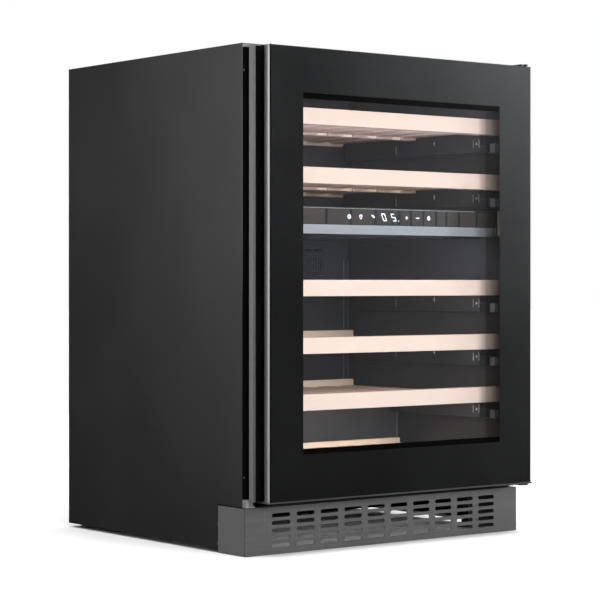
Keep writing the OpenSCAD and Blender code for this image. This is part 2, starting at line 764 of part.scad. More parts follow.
// loose rack on the floor of the lower zone, in front of the step
module bottom_rack() color(slat_wood) place() {
    rack_z = inner_floor_z;
    bearer_h = 14;
    back = step_y - 26;
    for (y = [75, 180, back - rail_d])
        box([slats_x, y, rack_z], [slats_x + slats_w, y + rail_d, rack_z + bearer_h]);
    for (i = [0 : slat_n - 1]) translate([slats_x + i * slat_p, 0, 0])
        box([0, 70, rack_z + bearer_h - eps], [slat_w, back - rear_rail_t, rack_z + bearer_h + slat_t]);
    box([slats_x, back - rear_rail_t, rack_z], [slats_x + slats_w, back, rack_z + board_h + 6]);
}

left_side_panel();
right_side_panel();
top_panel();
back_panel();
front_frame();
bottom_panel();
foam_insulation();
upper_liner();
lower_liner();
zone_divider();
divider_trim();
control_panel();
control_board();
duct_covers();
evaporators();
fan_frames();
compressor();
condenser();
refrigerant_pipes();
drip_tray();
base_frame();
rear_grille();
power_inlet();
kick_plate();
hinge_plates();
corner_covers();
screws();
led_strips();
wall_runners();
bottom_rack();
front_pane();
inner_pane();
pane_border();
handle_profile();
door_frame();
bottom_rail();
door_seal();
hinge_bushes();
upper_fan();
lower_fan();
condenser_fan();
front_left_foot();
front_right_foot();
rear_left_foot();
rear_right_foot();
shelf_1_board();
shelf_1_slats();
shelf_1_arms();
shelf_2_board();
shelf_2_slats();
shelf_2_arms();
shelf_3_board();
shelf_3_slats();
shelf_3_arms();
shelf_4_board();
shelf_4_slats();
shelf_4_arms();
shelf_5_board();
shelf_5_slats();
shelf_5_arms();
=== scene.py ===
"""Looks of a built-in dual-zone wine cooler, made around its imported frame.

Metres. +Z is up and the door faces -Y. Every piece sits at the origin with its place in its mesh.
"""

import math

import bmesh
import bpy
from mathutils import Matrix, Vector


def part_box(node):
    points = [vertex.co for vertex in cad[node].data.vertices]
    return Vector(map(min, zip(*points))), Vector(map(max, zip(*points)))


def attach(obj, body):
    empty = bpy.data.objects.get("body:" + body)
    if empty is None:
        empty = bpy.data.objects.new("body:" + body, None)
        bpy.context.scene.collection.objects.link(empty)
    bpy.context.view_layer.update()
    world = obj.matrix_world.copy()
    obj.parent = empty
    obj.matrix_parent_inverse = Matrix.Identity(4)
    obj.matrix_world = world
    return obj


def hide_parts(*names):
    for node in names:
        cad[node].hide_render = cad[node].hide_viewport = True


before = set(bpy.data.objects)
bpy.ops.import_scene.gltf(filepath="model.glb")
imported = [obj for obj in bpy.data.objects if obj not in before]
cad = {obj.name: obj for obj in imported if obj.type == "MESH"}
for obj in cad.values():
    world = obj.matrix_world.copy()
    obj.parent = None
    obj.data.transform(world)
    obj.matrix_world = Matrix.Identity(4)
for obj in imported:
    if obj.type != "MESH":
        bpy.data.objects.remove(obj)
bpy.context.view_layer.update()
MM = 0.001
FRONT_Y = -287.5 * MM  # the door's face, from which depths are measured


# ---------------------------------------------------------------- node trees


def add(tree, kind, inputs=None, **settings):
    """Adds a node; inputs holds values or the sockets that feed it, by name or number."""
    node = tree.nodes.new(kind)
    for name, value in settings.items():
        setattr(node, name, value)
    for name, value in (inputs or {}).items():
        if isinstance(value, bpy.types.NodeSocket):
            tree.links.new(value, node.inputs[name])
        else:
            node.inputs[name].default_value = value
    return node


def places(tree, stretch=(1, 1, 1)):
    """Object coordinates, with each axis scaled."""
    coords = add(tree, "ShaderNodeTexCoord")
    mapping = add(tree, "ShaderNodeMapping", {"Vector": coords.outputs["Object"], "Scale": stretch})
    return mapping.outputs["Vector"]


def noise(tree, where, scale, detail=3.0, rough=0.5, distort=0.0):
    inputs = {"Vector": where, "Scale": scale, "Detail": detail, "Roughness": rough, "Distortion": distort}
    return add(tree, "ShaderNodeTexNoise", inputs).outputs[0]


def span(tree, value, low, high, start=0.3, end=0.7):
    """A value between start and end, spread over low to high."""
    inputs = {"Value": value, "From Min": start, "From Max": end, "To Min": low, "To Max": high}
    return add(tree, "ShaderNodeMapRange", inputs).outputs[0]


def blended(tree, share, first, second, mode="MIX"):
    node = add(tree, "ShaderNodeMix", data_type="RGBA", blend_type=mode)
    for index, value in ((0, share), (6, first), (7, second)):
        if isinstance(value, bpy.types.NodeSocket):
            tree.links.new(value, node.inputs[index])
        else:
            node.inputs[index].default_value = value
    return node.outputs[2]


def math_of(tree, operation, first, second=0.0):
    return add(tree, "ShaderNodeMath", {0: first, 1: second}, operation=operation).outputs[0]


def bumped(tree, height, strength, distance):
    inputs = {"Height": height, "Strength": strength, "Distance": distance}
    return add(tree, "ShaderNodeBump", inputs).outputs[0]


def finish_of(name, roughness=0.5, metallic=0.0, specular=0.5, colour=None):
    """A new material with its tree and its main shader."""
    material = bpy.data.materials.new(name)
    material.use_nodes = True
    tree = material.node_tree
    shader = tree.nodes["Principled BSDF"]
    shader.inputs["Roughness"].default_value = roughness
    shader.inputs["Metallic"].default_value = metallic
    shader.inputs["Specular IOR Level"].default_value = specular
    if colour:
        shader.inputs["Base Color"].default_value = (*colour, 1)
    return material, tree, shader


def feed(tree, shader, **sockets):
    names = {"colour": "Base Color", "rough": "Roughness", "normal": "Normal", "metal": "Metallic"}
    for name, socket in sockets.items():
        tree.links.new(socket, shader.inputs[names[name]])


# ---------------------------------------------------------------- finishes


def rgba(colour):
    return (*colour, 1)


def painted_steel(name, dark, pale, rough, specular=0.5, peel=0.05):
    """Powder-coated sheet: a faint mottle and the fine dimples of sprayed paint."""
    material, tree, shader = finish_of(name, specular=specular)
    where = places(tree)
    mottle = noise(tree, where, 5, 4)
    dimples = noise(tree, where, 900, 2)
    feed(
        tree,
        shader,
        colour=blended(tree, span(tree, mottle, 0, 1), rgba(dark), rgba(pale)),
        rough=span(tree, mottle, rough - 0.04, rough + 0.05),
        normal=bumped(tree, dimples, peel, 0.00015),
    )
    return material


def moulded(name, dark, pale, rough, grain=1100, depth=0.03, specular=0.5):
    """Moulded plastic: a slow cloud in its colour and gloss over a fine stipple."""
    material, tree, shader = finish_of(name, specular=specular)
    where = places(tree)
    cloud = noise(tree, where, 9, 3)
    stipple = noise(tree, where, grain, 2)
    feed(
        tree,
        shader,
        colour=blended(tree, span(tree, cloud, 0, 1), rgba(dark), rgba(pale)),
        rough=span(tree, cloud, rough - 0.04, rough + 0.05),
        normal=bumped(tree, stipple, depth, 0.0002),
    )
    return material


def brushed(name, dark, pale, rough, along, metallic=1.0, lines=900, depth=0.10):
    """Metal brushed along one axis: the pattern is drawn out along that axis."""
    stretch = [1.0, 1.0, 1.0]
    stretch["XYZ".index(along)] = 0.012
    material, tree, shader = finish_of(name, metallic=metallic)
    fine = noise(tree, places(tree, stretch), lines, 4, 0.6)
    broad = noise(tree, places(tree), 4, 3)
    tone = math_of(tree, "ADD", span(tree, fine, 0, 0.7), span(tree, broad, 0, 0.3))
    feed(
        tree,
        shader,
        colour=blended(tree, tone, rgba(dark), rgba(pale)),
        rough=span(tree, fine, rough - 0.07, rough + 0.10),
        normal=bumped(tree, fine, depth, 0.0001),
    )
    return material


def zinc_coated(name):
    """Galvanised sheet with its crystal pattern."""
    material, tree, shader = finish_of(name, metallic=0.55)
    where = places(tree)
    crystals = add(tree, "ShaderNodeTexVoronoi", {"Vector": where, "Scale": 130.0}).outputs["Color"]
    tone = add(tree, "ShaderNodeSeparateColor", {0: crystals}).outputs[0]
    stain = noise(tree, where, 8, 4)
    pale = blended(tree, tone, rgba((0.42, 0.44, 0.46)), rgba((0.62, 0.64, 0.66)))
    feed(
        tree,
        shader,
        colour=blended(tree, span(tree, stain, 0, 0.35), pale, rgba((0.36, 0.37, 0.39))),
        rough=span(tree, tone, 0.30, 0.48, 0, 1),
        normal=bumped(tree, tone, 0.05, 0.0002),
    )
    return material


def timber(name, pale, mid, dark, along, streaks=1.0, rough=0.55):
    """Planed solid wood with its fibres along one axis."""
    drawn, fibres = [1.0, 1.0, 1.0], [1.0, 1.0, 1.0]
    axis = "XYZ".index(along)
    drawn[axis], fibres[axis] = 0.10, 0.02
    material, tree, shader = finish_of(name, specular=0.3)
    figure = noise(tree, places(tree, drawn), 34, 5, 0.55, 0.8)
    fibre = noise(tree, places(tree, fibres), 700, 4, 0.6)
    pores = noise(tree, places(tree, fibres), 1500, 2, 0.5)
    cloud = noise(tree, places(tree), 5, 2)
    body = blended(tree, span(tree, figure, 0, streaks), rgba(pale), rgba(mid))
    body = blended(tree, span(tree, fibre, 0, 0.40 * streaks, 0.45, 0.75), body, rgba(dark))
    body = blended(tree, span(tree, cloud, 0, 0.30 * streaks), body, rgba(mid))
    feed(
        tree,
        shader,
        colour=blended(tree, span(tree, pores, 0, 0.45 * streaks, 0.62, 0.75), body, rgba(dark)),
        rough=span(tree, fibre, rough - 0.06, rough + 0.10),
        normal=bumped(tree, fibre, 0.20, 0.0002),
    )
    return material


def see_through(name, tint, gloss=0.012, index=1.5, haze=0.0):
    """Flat glass: tinted where it lets light through, mirrored by its angle, with a faint haze."""
    material = bpy.data.materials.new(name)
    material.use_nodes = True
    tree = material.node_tree
    tree.nodes.clear()
    clear = add(tree, "ShaderNodeBsdfTransparent", {"Color": rgba(tint)})
    mirror = add(tree, "ShaderNodeBsdfGlossy", {"Color": (1, 1, 1, 1), "Roughness": gloss})
    leaving = add(tree, "ShaderNodeNewGeometry").outputs["Backfacing"]
    facing = math_of(tree, "SUBTRACT", 1.0, leaving)
    share = math_of(tree, "MULTIPLY", add(tree, "ShaderNodeFresnel", {"IOR": index}).outputs[0], facing)
    dust = add(tree, "ShaderNodeBsdfDiffuse", {"Color": (0.8, 0.8, 0.82, 1)})
    smear = span(tree, noise(tree, places(tree), 3, 2), 0.85 * haze, 1.15 * haze)
    film = math_of(tree, "MULTIPLY", smear, facing)
    veiled = add(tree, "ShaderNodeMixShader", {0: film, 1: clear.outputs[0], 2: dust.outputs[0]})
    mixed = add(tree, "ShaderNodeMixShader", {0: share, 1: veiled.outputs[0], 2: mirror.outputs[0]})
    add(tree, "ShaderNodeOutputMaterial", {"Surface": mixed.outputs[0]})
    return material


def glowing(name, colour, strength, cells=None):
    """A lit lens; cells gives the pitch of the diodes behind it along X."""
    material, tree, shader = finish_of(name, roughness=0.35, colour=(0.85, 0.88, 0.95))
    shader.inputs["Emission Color"].default_value = rgba(colour)
    if cells:
        where = places(tree, (1 / cells, 0, 0))
        wave = add(tree, "ShaderNodeTexWave", {"Vector": where, "Scale": 1.0}, wave_profile="SIN")
        lit = span(tree, wave.outputs[1], 0.6 * strength, 1.3 * strength, 0, 1)
        tree.links.new(lit, shader.inputs["Emission Strength"])
    else:
        ripple = noise(tree, places(tree), 400, 2)
        tree.links.new(span(tree, ripple, 0.9 * strength, 1.1 * strength), shader.inputs["Emission Strength"])
    return material


def circuit_green(name):
    """Board lacquer with tracks etched under it."""
    material, tree, shader = finish_of(name, roughness=0.35)
    cells = add(tree, "ShaderNodeTexVoronoi", {"Vector": places(tree), "Scale": 260.0}, distance="MANHATTAN")
    track = span(tree, cells.outputs["Distance"], 0, 1, 0.25, 0.32)
    feed(tree, shader, colour=blended(tree, track, rgba((0.02, 0.16, 0.06)), rgba((0.01, 0.07, 0.03))))
    return material


PAINT = painted_steel("casing_paint", (0.0024, 0.0024, 0.0026), (0.0038, 0.0038, 0.0040), 0.12, 0.45)
FRAME_PAINT = painted_steel("frame_paint", (0.0012, 0.0012, 0.0013), (0.0020, 0.0020, 0.0021), 0.5, 0.04)
DOOR_PAINT = painted_steel("door_paint", (0.010, 0.010, 0.011), (0.016, 0.016, 0.017), 0.40)
PUMP_PAINT = painted_steel("compressor_paint", (0.008, 0.008, 0.008), (0.015, 0.015, 0.015), 0.30)
RUNNER_PAINT = painted_steel("runner_paint", (0.026, 0.028, 0.033), (0.036, 0.038, 0.044), 0.38)
ARM_PAINT = painted_steel("arm_paint", (0.018, 0.019, 0.022), (0.026, 0.027, 0.031), 0.36)
LINER = moulded("liner_plastic", (0.023, 0.023, 0.026), (0.029, 0.029, 0.033), 0.38)
# Paler copy of the liner plastic for the step's front face: painted light.
STEP_LIT_LINER = moulded("step_painted_light", (0.042, 0.045, 0.050), (0.054, 0.057, 0.063), 0.45)
DUCT = moulded("duct_plastic", (0.026, 0.026, 0.030), (0.033, 0.033, 0.038), 0.36)
# Paler plastic for the edge beads: painted highlights on the liner's edges and corners.
HIGHLIGHT_PLASTIC = moulded("painted_highlight_plastic", (0.11, 0.115, 0.125), (0.15, 0.155, 0.165), 0.30)
GRILLE_RING = moulded("grille_ring", (0.035, 0.036, 0.041), (0.048, 0.049, 0.055), 0.30)
FAN_PLASTIC = moulded("fan_plastic", (0.012, 0.012, 0.013), (0.020, 0.020, 0.022), 0.40)
TRAY_PLASTIC = moulded("tray_plastic", (0.06, 0.06, 0.06), (0.09, 0.09, 0.09), 0.55)
INLET_PLASTIC = moulded("inlet_plastic", (0.010, 0.010, 0.010), (0.017, 0.017, 0.017), 0.42)
FOOT_PLASTIC = moulded("foot_plastic", (0.010, 0.010, 0.010), (0.018, 0.018, 0.018), 0.55, 700, 0.1)
COVER_PLASTIC = moulded("cover_plastic", (0.10, 0.10, 0.103), (0.14, 0.14, 0.143), 0.42)
PLUG_PLASTIC = moulded("plug_plastic", (0.22, 0.23, 0.245), (0.27, 0.28, 0.295), 0.45)
BUSH_PLASTIC = moulded("bush_plastic", (0.03, 0.03, 0.03), (0.05, 0.05, 0.05), 0.35)
RUBBER = moulded("seal_rubber", (0.006, 0.006, 0.006), (0.010, 0.010, 0.010), 0.55, 900, 0.10, 0.3)
FOAM = moulded("foam", (0.60, 0.55, 0.38), (0.72, 0.67, 0.50), 0.9, 300, 0.5, 0.1)
GROOVE_BLACK = moulded(
    "groove_black", (0.0015, 0.0015, 0.0015), (0.0025, 0.0025, 0.0025), 0.6, 900, 0.05, 0.05
)
TRIM = brushed("trim_aluminium", (0.30, 0.308, 0.33), (0.385, 0.39, 0.415), 0.38, "X", 0.45)
HANDLE = brushed("handle_aluminium", (0.13, 0.13, 0.133), (0.19, 0.19, 0.194), 0.34, "Z", 0.85)
# Paler aluminium for polished edges; on the handle's front band it is also a painted highlight.
POLISH_AND_HIGHLIGHT = brushed("polish_and_painted_highlight", (0.33, 0.33, 0.335), (0.43, 0.43, 0.435), 0.26, "Z", 0.85)
SILL = brushed("sill_aluminium", (0.10, 0.10, 0.103), (0.15, 0.15, 0.153), 0.40, "X")
KICK_X = brushed("kick_metal", (0.11, 0.11, 0.112), (0.175, 0.175, 0.178), 0.42, "X", 0.8, 700)
FINS = brushed("fin_aluminium", (0.50, 0.51, 0.52), (0.68, 0.69, 0.70), 0.35, "Z")
STEEL = brushed("screw_steel", (0.38, 0.38, 0.39), (0.58, 0.58, 0.60), 0.30, "X", lines=500)
# Spring-clip steel tinted pale blue: a painted bluish glint from the lamps.
CLIP_GLINT = brushed("clip_steel_painted_glint", (0.42, 0.46, 0.62), (0.60, 0.65, 0.85), 0.25, "Z", 0.6, 500)
DARK_STEEL = brushed("dark_screw", (0.05, 0.05, 0.052), (0.09, 0.09, 0.092), 0.35, "X", lines=500)
HINGE_STEEL = brushed("hinge_steel", (0.08, 0.08, 0.083), (0.13, 0.13, 0.135), 0.35, "X", lines=500)
COPPER = brushed("copper", (0.55, 0.26, 0.15), (0.72, 0.38, 0.24), 0.32, "Z", lines=300)
ZINC = zinc_coated("zinc_sheet")
MAPLE = timber("board_wood", (0.61, 0.467, 0.398), (0.56, 0.417, 0.345), (0.44, 0.314, 0.243), "X", 0.5)
SLAT_Y = timber("slat_wood", (0.70, 0.555, 0.465), (0.62, 0.475, 0.385), (0.42, 0.29, 0.21), "Y", 0.8, 0.40)
SLAT_X = timber("rail_wood", (0.76, 0.60, 0.48), (0.68, 0.52, 0.40), (0.46, 0.31, 0.21), "X", 0.8, 0.45)
PANE = see_through("pane_glass", (0.96, 0.97, 0.975), index=1.20)
INNER = see_through("inner_glass", (0.97, 0.975, 0.98), index=1.15, haze=0.010)
# Grey-tinted glass for the inner pane's hinge-side strip: painted shade.
SHADE_VEIL = see_through("painted_shade_band", (0.82, 0.82, 0.825), index=1.15, haze=0.006)
PRINT = painted_steel("border_print", (0.0022, 0.0022, 0.0024), (0.0030, 0.0030, 0.0032), 0.14, 0.45, 0.0)
BAND = painted_steel("band_print", (0.0010, 0.0010, 0.0010), (0.0014, 0.0014, 0.0014), 0.5, 0.0, 0.0)
PANEL_GLOSS = moulded("panel_gloss", (0.003, 0.003, 0.006), (0.005, 0.005, 0.009), 0.18, 300, 0.0)
KEY_GLOSS = moulded("key_gloss", (0.024, 0.019, 0.016), (0.040, 0.032, 0.027), 0.22, 300, 0.0)
LED = glowing("led_lens", (0.78, 0.84, 1.0), 3.0, 0.012)
ICON_LIGHT = glowing("display_light", (0.60, 0.64, 1.0), 1.7)
BOARD_GREEN = circuit_green("circuit_board")


# ---------------------------------------------------------------- mesh helpers


def piece_from(name, bm, *materials):
    """Makes a mesh into a linked piece and frees bm."""
    mesh = bpy.data.meshes.new(name)
    bm.to_mesh(mesh)
    bm.free()
    for material in materials:
        mesh.materials.append(material)
    piece = bpy.data.objects.new(name, mesh)
    bpy.context.scene.collection.objects.link(piece)
    return piece


def settle(piece):
    """Turns a piece's modifiers into its plain mesh."""
    bpy.context.view_layer.update()
    graph = bpy.context.evaluated_depsgraph_get()
    plain = bpy.data.meshes.new_from_object(piece.evaluated_get(graph), depsgraph=graph)
    piece.modifiers.clear()
    piece.data = plain
    return piece


def eased(piece, width, segments=2, angle=30):
    """Rounds a piece's sharp edges and evens out the shading of its flats."""
    bevel = piece.modifiers.new("edges", "BEVEL")
    bevel.width = width
    bevel.segments = segments
    bevel.limit_method = "ANGLE"
    bevel.angle_limit = math.radians(angle)
    bevel.use_clamp_overlap = True
    bevel.miter_outer = "MITER_ARC"
    return smooth(piece)


def smooth(piece, angle=40):
    settle(piece)
    piece.data.shade_smooth()
    piece.data.set_sharp_from_angle(angle=math.radians(angle))
    normals = piece.modifiers.new("normals", "WEIGHTED_NORMAL")
    normals.keep_sharp = True
    return settle(piece)


def stands_for(piece, body, slot, *nodes):
    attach(piece, body)
    if nodes:
        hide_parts(*nodes)
    return piece


def joined_copy(node):
    """A node's mesh as a clean solid: doubles merged and flat faces whole again."""
    bm = bmesh.new()
    bm.from_mesh(cad[node].data)
    bmesh.ops.remove_doubles(bm, verts=bm.verts, dist=2e-6)
    bmesh.ops.dissolve_limit(
        bm, angle_limit=math.radians(0.5), verts=bm.verts, edges=bm.edges, delimit={"NORMAL"}
    )
    return bm


def shell_of(node, body, slot, material, width, segments=2):
    """A node's own shape with its edges eased."""
    piece = piece_from(node + "_shell", joined_copy(node), material)
    eased(piece, width, segments)
    return stands_for(piece, body, slot, node)


def add_box(bm, low, high, material=0):
    """A box between two corners."""
    sides = bmesh.ops.create_cube(bm, size=1.0)["verts"]
    low, high = Vector(low), Vector(high)
    for vert in sides:
        vert.co = Vector((low[i] + (vert.co[i] + 0.5) * (high[i] - low[i]) for i in range(3)))
    for face in {face for vert in sides for face in vert.link_faces}:
        face.material_index = material
    return sides


# ---------------------------------------------------------------- rows of like parts


def repeat_tree():
    """Copies of one small part, set on a line of points by count and step."""
    tree = bpy.data.node_groups.new("row_of_parts", "GeometryNodeTree")
    face = tree.interface
    face.new_socket("Geometry", in_out="INPUT", socket_type="NodeSocketGeometry")
    face.new_socket("Count", in_out="INPUT", socket_type="NodeSocketInt")
    face.new_socket("Start", in_out="INPUT", socket_type="NodeSocketVector")
    face.new_socket("Step", in_out="INPUT", socket_type="NodeSocketVector")
    face.new_socket("Finish", in_out="INPUT", socket_type="NodeSocketMaterial")
    face.new_socket("Geometry", in_out="OUTPUT", socket_type="NodeSocketGeometry")
    given = add(tree, "NodeGroupInput").outputs
    line = add(
        tree,
        "GeometryNodeMeshLine",
        {"Count": given["Count"], "Start Location": given["Start"], "Offset": given["Step"]},
    )
    copies = add(
        tree,
        "GeometryNodeInstanceOnPoints",
        {"Points": line.outputs[0], "Instance": given["Geometry"]},
    )
    solid = add(tree, "GeometryNodeRealizeInstances", {0: copies.outputs[0]})
    coated = add(
        tree, "GeometryNodeSetMaterial", {"Geometry": solid.outputs[0], "Material": given["Finish"]}
    )
    add(tree, "NodeGroupOutput", {0: coated.outputs[0]})
    return tree


ROW = repeat_tree()


def row_of(name, bm, material, count, start, step, edge=0.0):
    """A row of copies of the part in bm, as one plain mesh."""
    piece = piece_from(name, bm, material)
    if edge:
        eased(piece, edge)
    row = piece.modifiers.new("row", "NODES")
    row.node_group = ROW
    values = {"Count": count, "Start": start, "Step": step, "Finish": material}
    for socket in ROW.interface.items_tree:
        if socket.name in values and socket.in_out == "INPUT":
            row[socket.identifier] = values[socket.name]
    settle(piece)
    return piece


def joined(name, pieces):
    """Several pieces as one mesh, keeping each one's material."""
    bm = bmesh.new()
    materials = []
    for part in pieces:
        first = len(bm.faces)
        bm.from_mesh(part.data)
        for material in part.data.materials:
            if material not in materials:
                materials.append(material)
        bm.faces.ensure_lookup_table()
        own = [materials.index(m) for m in part.data.materials]
        for face in bm.faces[first:]:
            face.material_index = own[face.material_index] if own else 0
        bpy.data.objects.remove(part)
    return smooth(piece_from(name, bm, *materials))


# ---------------------------------------------------------------- casing


def casing():
    """Sheet steel outside: sides, top and the flange round the opening."""
    for node in ("left_side_panel", "right_side_panel", "top_panel"):
        shell_of(node, "cabinet", "casing_paint", PAINT, 0.5 * MM)
    shell_of("front_frame", "cabinet", "frame_paint", FRAME_PAINT, 0.4 * MM)


def pressed_back():
    """Back sheet with pressed-in stiffening beads and a lower margin that takes the screws."""
    low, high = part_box("back_panel")
    bead_depth, bead_half, margin = 0.9 * MM, 9 * MM, 70 * MM
    columns, rows = 119, 128
    bm = bmesh.new()
    width, height = high.x - low.x, high.z - low.z
    beads = [low.z + margin + i * (height - 2 * margin) / 3 for i in range(4)]
    grid = []
    for j in range(rows + 1):
        z = low.z + height * j / rows
        line = []
        for i in range(columns + 1):
            x = low.x + width * i / columns
            ends = min(1.0, max(0.0, (min(x - low.x, high.x - x) - 40 * MM) / (12 * MM)))
            near = min(abs(z - bead) for bead in beads)
            dip = max(0.0, math.cos(min(near / bead_half, 1.0) * math.pi / 2)) * ends
            border = min(x - low.x, high.x - x, z - low.z, high.z - z)
            dip = max(dip, min(1.0, max(0.0, (24 * MM - border) / (5 * MM))))
            line.append(bm.verts.new((x, high.y - bead_depth * dip, z)))
        grid.append(line)
    for lower, upper in zip(grid, grid[1:]):
        for i in range(columns):
            bm.faces.new((lower[i + 1], lower[i], upper[i], upper[i + 1]))
    edge = bmesh.ops.extrude_edge_only(bm, edges=[e for e in bm.edges if e.is_boundary])
    rim = [item for item in edge["geom"] if isinstance(item, bmesh.types.BMVert)]
    for vert in rim:
        vert.co.y = low.y
    bmesh.ops.contextual_create(bm, geom=[e for e in bm.edges if e.is_boundary])
    bmesh.ops.recalc_face_normals(bm, faces=bm.faces)
    sheet = smooth(piece_from("back_sheet", bm, ZINC))
    stands_for(sheet, "cabinet", "zinc_sheet", "back_panel")
    inset, per_row = 12 * MM, 8
    seat_y = high.y - bead_depth
    across = (width - 2 * inset) / (per_row - 1)
    upward = (height - 2 * inset) / (per_row - 1)
    lines = [
        ("back_screws_low", (low.x + inset, seat_y, low.z + inset), (across, 0, 0)),
        ("back_screws_top", (low.x + inset, seat_y, high.z - inset), (across, 0, 0)),
        ("back_screws_left", (low.x + inset, seat_y, low.z + inset), (0, 0, upward)),
        ("back_screws_right", (high.x - inset, seat_y, low.z + inset), (0, 0, upward)),
    ]
    rows_of_screws = []
    for name, start, step in lines:
        bm = bmesh.new()
        screw_head(bm, Vector(), 3.4 * MM, 0.85 * MM, facing=1)
        bmesh.ops.recalc_face_normals(bm, faces=bm.faces)
        inner = 1 if step[2] else 0
        first = tuple(a + inner * b for a, b in zip(start, step))
        rows_of_screws.append(row_of(name, bm, STEEL, per_row - 2 * inner, first, step))
    stands_for(joined("back_screws", rows_of_screws), "cabinet", "screw_steel")


def rear_and_base():
    """Sheet parts, machine compartment and feet behind and under the cabinet."""
    shell_of("bottom_panel", "cabinet", "zinc_sheet", ZINC, 0.3 * MM, 1)
    # The base frame takes the black frame paint instead of bare zinc: painted shade, so the plinth slots look
    # dark.
    shell_of("base_frame", "cabinet", "frame_paint", FRAME_PAINT, 0.3 * MM, 1)
    shell_of("rear_grille", "cabinet", "zinc_sheet", ZINC, 0.25 * MM, 1)
    shell_of("power_inlet", "cabinet", "inlet_plastic", INLET_PLASTIC, 0.4 * MM)
    shell_of("compressor", "cabinet", "compressor_paint", PUMP_PAINT, 0.8 * MM)
    shell_of("drip_tray", "cabinet", "tray_plastic", TRAY_PLASTIC, 0.5 * MM)
    for foot in ("front_left_foot", "front_right_foot", "rear_left_foot", "rear_right_foot"):
        shell_of(foot, foot, "foot_plastic", FOOT_PLASTIC, 0.8 * MM)


# ---------------------------------------------------------------- plinth


def plinth():
    """Slotted sheet, with a dark joint where each return meets the front."""
    shell_of("kick_plate", "cabinet", "kick_metal", KICK_X, 0.45 * MM)
    low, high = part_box("kick_plate")
    wide, depth, setback, end_gap = 1.0 * MM, 0.12 * MM, 0.5 * MM, 1 * MM
    y1, y2 = low.y + setback, low.y + setback + wide
    bm = bmesh.new()
    for edge, inward in ((low.x, 1), (high.x, -1)):
        x1, x2 = sorted((edge, edge + inward * depth))
        add_box(bm, (x1, y1, low.z + end_gap), (x2, y2, high.z - end_gap))
    stands_for(piece_from("kick_joints", bm, GROOVE_BLACK), "cabinet", "kick_metal")


# ---------------------------------------------------------------- door


def door_glass():
    shell_of("front_pane", "door", "pane_glass", PANE, 0.6 * MM)


VEIL_W = 44.5 * MM  # the grey-tinted strip's width; the tint is painted shade


def inner_glass():
    """Inner pane, tinted grey along its hinge side: painted shade for the dim strip where the frame's side
    wall reflects the shelves.
    """
    veil_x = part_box("inner_pane")[1].x - VEIL_W
    bm = joined_copy("inner_pane")
    cut = [*bm.verts, *bm.edges, *bm.faces]
    bmesh.ops.bisect_plane(bm, geom=cut, plane_co=(veil_x, 0, 0), plane_no=(1, 0, 0))
    for face in bm.faces:
        if face.calc_center_median().x > veil_x:
            face.material_index = 1
    piece = eased(piece_from("inner_pane_shell", bm, INNER, SHADE_VEIL), 0.4 * MM)
    stands_for(piece, "door", "inner_glass", "inner_pane")


def inner_bands():
    """Black prints on the inner pane: at the top, the bottom and the handle side."""
    low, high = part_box("inner_pane")
    window_low, window_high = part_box("pane_border")
    side_border, end_border = 67.9 * MM, 73 * MM
    window_x1 = window_low.x + side_border
    window_z1, window_z2 = window_low.z + end_border, window_high.z - end_border
    end_band, side_band, edge = 6.5 * MM, 14.8 * MM, 1 * MM
    gap, thick = 0.02 * MM, 0.15 * MM
    y1, y2 = low.y - gap - thick, low.y - gap
    top, bottom = window_z2 - end_band, window_z1 + end_band
    bm = bmesh.new()
    add_box(bm, (low.x + edge, y1, top), (high.x - edge, y2, high.z - edge))
    add_box(bm, (low.x + edge, y1, low.z + edge), (high.x - edge, y2, bottom))
    add_box(bm, (low.x + edge, y1, bottom), (window_x1 + side_band, y2, top))
    stands_for(piece_from("inner_pane_border", bm, BAND), "door", "border_print")


def handle():
    """Aluminium pull profile: a polished band at its front edge painted paler as a painted highlight, a satin
    lip and fin, and a black groove.
    """
    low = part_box("handle_profile")[0]
    fin_back, fin_front, seam = low.x + 6 * MM, low.y + 4.3 * MM, 0.2 * MM
    # The band between these two depths is painted paler: a painted highlight along the lip.
    highlight_front, highlight_back = low.y + 1.9 * MM, low.y + 6.8 * MM
    lip_back = low.y + 16.2 * MM
    pane_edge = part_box("pane_border")[0].x
    bm = joined_copy("handle_profile")
    for y in (highlight_front, highlight_back):
        cut = [*bm.verts, *bm.edges, *bm.faces]
        bmesh.ops.bisect_plane(bm, geom=cut, plane_co=(0, y, 0), plane_no=(0, 1, 0))
    for face in bm.faces:
        centre = face.calc_center_median()
        if centre.x > pane_edge - seam or centre.x < fin_back:
            on_fin = centre.x < fin_back
            face.material_index = 0 if on_fin or centre.y < fin_front else 2
        elif centre.y < highlight_front:
            face.material_index = 2
        elif centre.y < highlight_back:
            face.material_index = 1
        elif centre.y > lip_back or face.normal.x > -0.5:
            face.material_index = 2
    piece = piece_from("handle_shell", bm, HANDLE, POLISH_AND_HIGHLIGHT, GROOVE_BLACK)
    eased(piece, 0.35 * MM)
    stands_for(piece, "door", "handle_aluminium", "handle_profile")


def door_shells():
    shell_of("door_frame", "door", "door_paint", DOOR_PAINT, 0.5 * MM)
    shell_of("bottom_rail", "door", "sill_aluminium", SILL, 0.3 * MM)
    shell_of("hinge_bushes", "door", "bush_plastic", BUSH_PLASTIC, 0.4 * MM)


def ring_sweep(bm, profile, low, high):
    """Sweeps a closed outline round a rectangle in X and Z. Each point of it is (inwards, y)."""
    corners = []
    for cx, cz in ((0, 0), (1, 0), (1, 1), (0, 1)):
        ring = []
        for inward, y in profile:
            x = high.x - inward if cx else low.x + inward
            z = high.z - inward if cz else low.z + inward
            ring.append(bm.verts.new((x, y, z)))
        corners.append(ring)
    count = len(profile)
    for i in range(4):
        here, there = corners[i], corners[(i + 1) % 4]
        for k in range(count):
            bm.faces.new((here[k], here[(k + 1) % count], there[(k + 1) % count], there[k]))
    bmesh.ops.recalc_face_normals(bm, faces=bm.faces)


